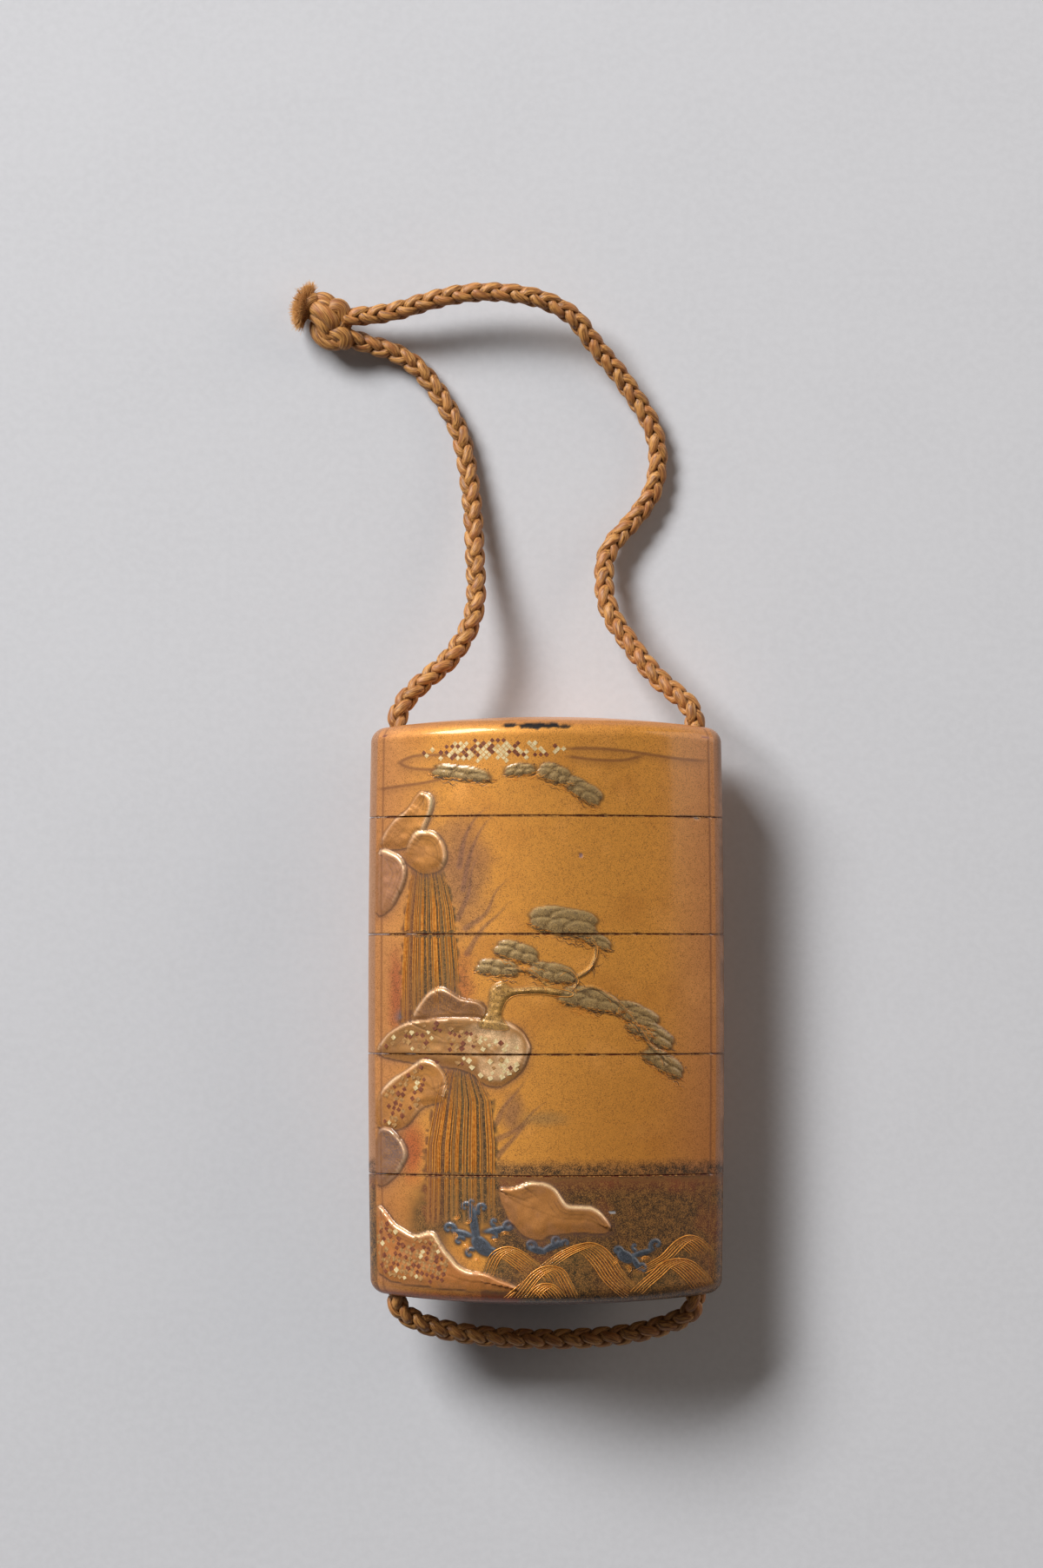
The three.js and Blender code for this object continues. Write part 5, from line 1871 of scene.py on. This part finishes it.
def fall_lines(lines, rng):
    """Threads of water in bundles, from the lip of each fall to its foot."""
    for number, fall in enumerate(FALLS):
        left, right = np.array(fall["left"]), np.array(fall["right"])
        for place in thread_places(number):
            for offset in (-0.02, 0.02, 0.0)[: rng.integers(1, 4)]:
                across = np.clip(place + offset, 0.0, 1.0)
                top = left[0, 1] + (right[0, 1] - left[0, 1]) * across - rng.uniform(-0.2, 1.2)
                foot = left[-1, 1] + (right[-1, 1] - left[-1, 1]) * across + rng.uniform(0.0, 3.0)
                y = np.arange(top, foot, -0.4)
                x_left = np.interp(-y, -left[:, 1], left[:, 0])
                x_right = np.interp(-y, -right[:, 1], right[:, 0])
                wander = 0.04 * smooth_noise(y, 0 * y + place * 50, 4.0, 7)
                x = x_left + across * (x_right - x_left) + wander
                lines.add(np.stack([x, y], 1), rng.uniform(0.09, 0.13))


def swell_lines(lines, rng, back=False):
    """The crest of each swell and the lines that follow it, cut off behind the nearer swells."""
    for number, crest in enumerate(SWELL_CRESTS):
        x = np.arange(crest[0, 0], crest[-1, 0], 0.25)
        height = swell_height(crest, x)
        drawn = [(height, 0.11)]
        for shift, drop, count in RIPPLES:
            for ripple in range(1, count + 1):
                wander = rng.uniform(-0.06, 0.06)
                y = swell_height(crest, x + shift * ripple + wander) - drop * ripple
                drawn.append((np.where(y < height - 0.12, y, -99), rng.uniform(0.07, 0.1)))
        for y, thick in drawn:
            hidden = y < -42.6
            for other in SWELL_CRESTS[number + 1:]:
                hidden |= y < swell_height(other, x) + 0.1
            at = -x if back else x
            for run in np.split(np.arange(len(x)), np.nonzero(np.diff(hidden))[0] + 1):
                if not hidden[run[0]] and len(run) > 4:
                    lines.add(np.stack([at[run], y[run]], 1), thick, back)


def needle_lines(gold, dark, rng):
    """On each clump of the pine: scallops along its foot, short needles on top and tendrils below."""
    for clump in PINE_CLUMPS:
        lean = math.radians(clump["lean"])
        along, up = np.array([math.cos(lean), math.sin(lean)]), np.array([-math.sin(lean), math.cos(lean)])
        middle = np.array([clump["x"], clump["y"]])
        for _ in range(int(15 * clump["long"])):
            u = rng.uniform(-1.0, 1.0)
            v = -0.55 * math.sqrt(max(0, 1 - u * u)) - rng.uniform(0.0, 0.35)
            start = middle + u * clump["long"] * along + v * clump["tall"] * up
            long, bow = rng.uniform(0.5, 1.1), rng.uniform(0.12, 0.26)
            share = np.linspace(-0.5, 0.5, 7)
            scallop = start + np.outer(share * long, along) + np.outer(bow * (4 * share**2 - 1), up)
            (gold if rng.random() < 0.6 else dark).add(scallop, rng.uniform(0.04, 0.06))
        for _ in range(int(5 * clump["long"])):
            u = rng.uniform(-1.0, 1.0)
            v = 0.85 * math.sqrt(max(0, 1 - u * u))
            start = middle + u * clump["long"] * along + v * clump["tall"] * up
            heading = math.radians(rng.normal(80, 30)) + lean
            tip = start + rng.uniform(0.2, 0.45) * np.array([math.cos(heading), math.sin(heading)])
            dark.add(np.stack([start, (start + tip) / 2, tip]), 0.035)
        for _ in range(int(2.3 * clump["long"])):
            u, long = rng.uniform(-0.9, 0.6), rng.uniform(1.4, 3.2)
            share = np.linspace(0, 1, 24)[:, None]
            start = middle + u * clump["long"] * along - rng.uniform(0.75, 1.25) * clump["tall"] * up
            meander = 0.2 * np.sin(share * long * 5 + rng.uniform(0, 6)) - 0.3 * share
            (gold if rng.random() < 0.7 else dark).add(start + long * share * along + meander * up, 0.05)


FINGER_RADII = (0.3, 0.52, 0.74)
FINGER_ARC = (70, 250)
TWIGS_PER_BRANCH = 7


def outline_lines(gold, dark, rng):
    """Gold round the trunk and along the branches, with twigs, and the fingers of spray."""
    gold.add(np.vstack([TRUNK_LOOP, TRUNK_LOOP[:1]]), 0.07)
    for line in BRANCH_LINES:
        gold.add(line + [0.12, 0.16], 0.06)
        dark.add(line - [0.1, 0.22], 0.06)
        for _ in range(TWIGS_PER_BRANCH):
            start = line[rng.integers(2, len(line))]
            heading = math.radians(rng.normal(-70, 45))
            share = np.linspace(0, 1, 7)
            long = rng.uniform(0.8, 2.2)
            twig = start + np.stack([
                long * share * math.cos(heading) + 0.25 * np.sin(4 * share + heading),
                long * share * math.sin(heading),
            ], 1)
            (dark if rng.random() < 0.5 else gold).add(twig, 0.045)
    for x, y, opening in FOAM_FINGERS:
        angle = np.radians(opening + np.linspace(*FINGER_ARC, 12))
        for radius in FINGER_RADII:
            gold.add(np.stack([x + radius * np.cos(angle), y + 0.8 * radius * np.sin(angle)], 1), 0.07)


# Rocks strewn with cut squares: how many are of gold leaf, and how thick they lie.
LATTICED_ROCKS = [
    ("ledge", 0.5, 0.6),
    ("fall_boulder", 0.55, 0.6),
    ("shore", 0.6, 0.8),
    ("high_boulder", 0.5, 0.4),
    ("sea_rock", 0.6, 0.06),
]
PALE_LEAF, RED_LEAF, GOLD_LEAF = range(3)
LATTICE = 0.43  # half the diagonal of a cut square on the lid, with its gap
ROCK_LATTICE = 0.74


def cut_squares(rng):
    """Guide rows (x, y, size, turn, leaf) of the cut squares: the lid's cloud and the rocks' patches."""
    rows = []
    for across in range(-40, 41):
        for up in range(-6, 7):
            if (across + up) % 2:
                continue
            x, y = -8.6 + across * LATTICE, 38.8 + up * LATTICE
            cloud = math.exp(-(((x + 9.4) / 5.6) ** 2) - (((y - 38.8) / 1.3) ** 2))
            stray = 0.5 * math.exp(-(((x + 6.5) / 12.0) ** 4) - (((y - 38.5) / 1.1) ** 2))
            if rng.random() < min(0.97, 1.5 * cloud + stray) - 0.12:
                leaf = PALE_LEAF if rng.random() < 0.66 else RED_LEAF
                rows.append((x, y, rng.uniform(0.48, 0.6), math.pi / 4, leaf))
    for name, gold_share, density in LATTICED_ROCKS:
        loop = ROCK_LOOPS[name]
        low, high = loop.min(0), loop.max(0)
        columns, lines = np.meshgrid(
            np.arange(low[0], high[0], ROCK_LATTICE), np.arange(low[1], high[1], ROCK_LATTICE)
        )
        slanted = (columns + 0.3 * lines, lines - 0.3 * columns - 5)
        x, y = (grid.ravel() + rng.normal(0, 0.05, grid.size) for grid in slanted)
        depth = depth_inside(x, y, loop)[0]
        worn = smooth_noise(x, y, 2.0, 97)
        for px, py, inside, bare in zip(x, y, depth, worn):
            if inside > 0.75 and rng.random() < density - 0.5 * bare:
                leaf = GOLD_LEAF if rng.random() < gold_share else RED_LEAF
                if rng.random() < (0.75 if name == "ledge" and px > -11.5 else 0.08):
                    leaf = PALE_LEAF
                rows.append((px, py, rng.uniform(0.46, 0.74), rng.normal(0.7, 0.16), leaf))
    return rows


def set_squares(name, rows, material, tree):
    bounds = [2 * HALF_HEIGHT, *SEAMS, -2 * HALF_HEIGHT]
    table = np.array(rows, float)
    for number, case_piece in enumerate(PIECES):
        low, high = bounds[number + 1] + 0.5, bounds[number] - 0.5
        mine = table[(table[:, 1] > low) & (table[:, 1] < high)]
        if len(mine):
            points, facing = on_case(mine[:, 0], mine[:, 1], 0.0)
            guide = guide_mesh(name, points, [], facing=facing, turn=mine[:, 3], size=mine[:, 2] * MM)
            piece = grow_from_guide(f"{name}_{case_piece}", guide, tree, Material=material)


# ---- Putting it together --------------------------------------------------------------------------------


def make_cords(silk, strokes):
    route, meets = cord_route()
    start, left_end, loop_start, loop_end, right_start, end = meets
    knot = make_knot(silk, strokes)
    parts = {
        "cord_left_strand": (start, left_end),
        "cord_base_loop": (loop_start, loop_end),
        "cord_right_strand": (right_start, end),
    }
    made = {}
    for name, (a, b) in parts.items():
        soup = Soup()
        before = KNOT_TUCK if name == "cord_left_strand" else 0.0
        beyond = KNOT_TUCK if name == "cord_right_strand" else 0.0
        add_braid(soup, route, a - before, b + beyond)
        mesh = soup.mesh(name)
        mesh.materials.append(silk)
        made[name] = place(name, mesh)
    hidden = Soup()
    for a, b in ((left_end, loop_start), (loop_end, right_start)):
        s = np.linspace(a, b, 30)[:, None]
        around = np.linspace(0, 2 * math.pi, 12, endpoint=False)[None, :]
        angle, radius = around + 0 * s, np.full((30, 12), 0.45 * CORD_DIAMETER)
        rings = route.at(s + 0 * around, angle, radius)
        hidden.add_tube(rings, np.stack([angle, radius * 0, s + 0 * around], -1))
    mesh = hidden.mesh("cord_in_channels")
    mesh.materials.append(silk)
    made["cord_in_channels"] = place("cord_in_channels", mesh)
    for piece in made.values():
        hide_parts("cord")
    for name, side, far_end, with_pieces in (
        ("cord_left_strand", -1, "knot", knot),
        ("cord_right_strand", 1, "knot", []),
        ("cord_base_loop", -1, "object", []),
    ):
        a, b = parts[name]
    return made


def make_knot(silk, strokes):
    soup = Soup()
    core = ellipsoid_rings((0, 0, 0), KNOT_CORE, KNOT_CORE_TURN)
    # Painted shade: the core takes the silk's darkest tone, for the hollow inside the knot.
    soup.add_tube(core, core * 0 - 0.3)
    for half_width, flatness, painted_light_shift, points in KNOT_LOBES:
        add_lobe(soup, half_width, flatness, painted_light_shift, points)
    mesh = soup.mesh("knot_tied")
    mesh.materials.append(silk)
    tied = place("knot_tied", mesh)
    brush = grow_from_guide("knot_brush", brush_guide(), strokes, Material=silk, Sides=4)
    for piece in (tied, brush):
        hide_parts("knot")
    return [tied, brush]


def make_floor():
    mesh = bpy.data.meshes.new("paper")
    h = PAPER_HALF_SIZE
    mesh.from_pydata([(-h, -h, 0), (h, -h, 0), (h, h, 0), (-h, h, 0)], [], [(0, 1, 2, 3)])
    mesh.materials.append(make_paper())
    floor = bpy.data.objects.new("paper", mesh)
    bpy.context.scene.collection.objects.link(floor)


make_floor()
strokes, squares = stroke_tree(), inlay_tree()
make_cords(make_silk(), strokes)

powder_group = make_sprinkled_powder()
skin = make_powder_lacquer(powder_group)
inner = make_inner_nashiji(powder_group)
tool = channel_cutter(inner)
for piece_number in range(len(PIECES)):
    make_case_piece(piece_number, skin, inner, tool)
bpy.data.objects.remove(tool)

gold_line = make_cut_metal("raised_gold_line", tone(236, 166, 72), tone(206, 126, 44), 0.5, 0.45)
dark_line = make_cut_metal("brown_lacquer_line", tone(104, 76, 44), tone(70, 46, 26), 0.1, 0.5)
pale_leaf = make_cut_metal("pale_cut_leaf", tone(236, 216, 166), tone(204, 170, 112), 0.25, 0.45)
red_leaf = make_cut_metal("red_brown_cut_leaf", tone(140, 80, 50), tone(104, 54, 36), 0.1, 0.4)
gold_leaf = make_cut_metal("gold_cut_leaf", tone(190, 144, 88), tone(146, 102, 56), 0.2, 0.45)
rng = np.random.default_rng(20)
gold, dark = FineLines(), FineLines()
fall_lines(gold, rng)
swell_lines(gold, rng)
swell_lines(gold, rng, back=True)
needle_lines(gold, dark, rng)
outline_lines(gold, dark, rng)
gold.grow("gold_lines", gold_line, strokes)
dark.grow("brown_lines", dark_line, strokes)
square_rows = cut_squares(rng)
for leaf, name, material in (
    (PALE_LEAF, "pale_squares", pale_leaf),
    (RED_LEAF, "red_squares", red_leaf),
    (GOLD_LEAF, "gold_squares", gold_leaf),
):
    set_squares(name, [row[:4] for row in square_rows if row[4] == leaf], material, squares)
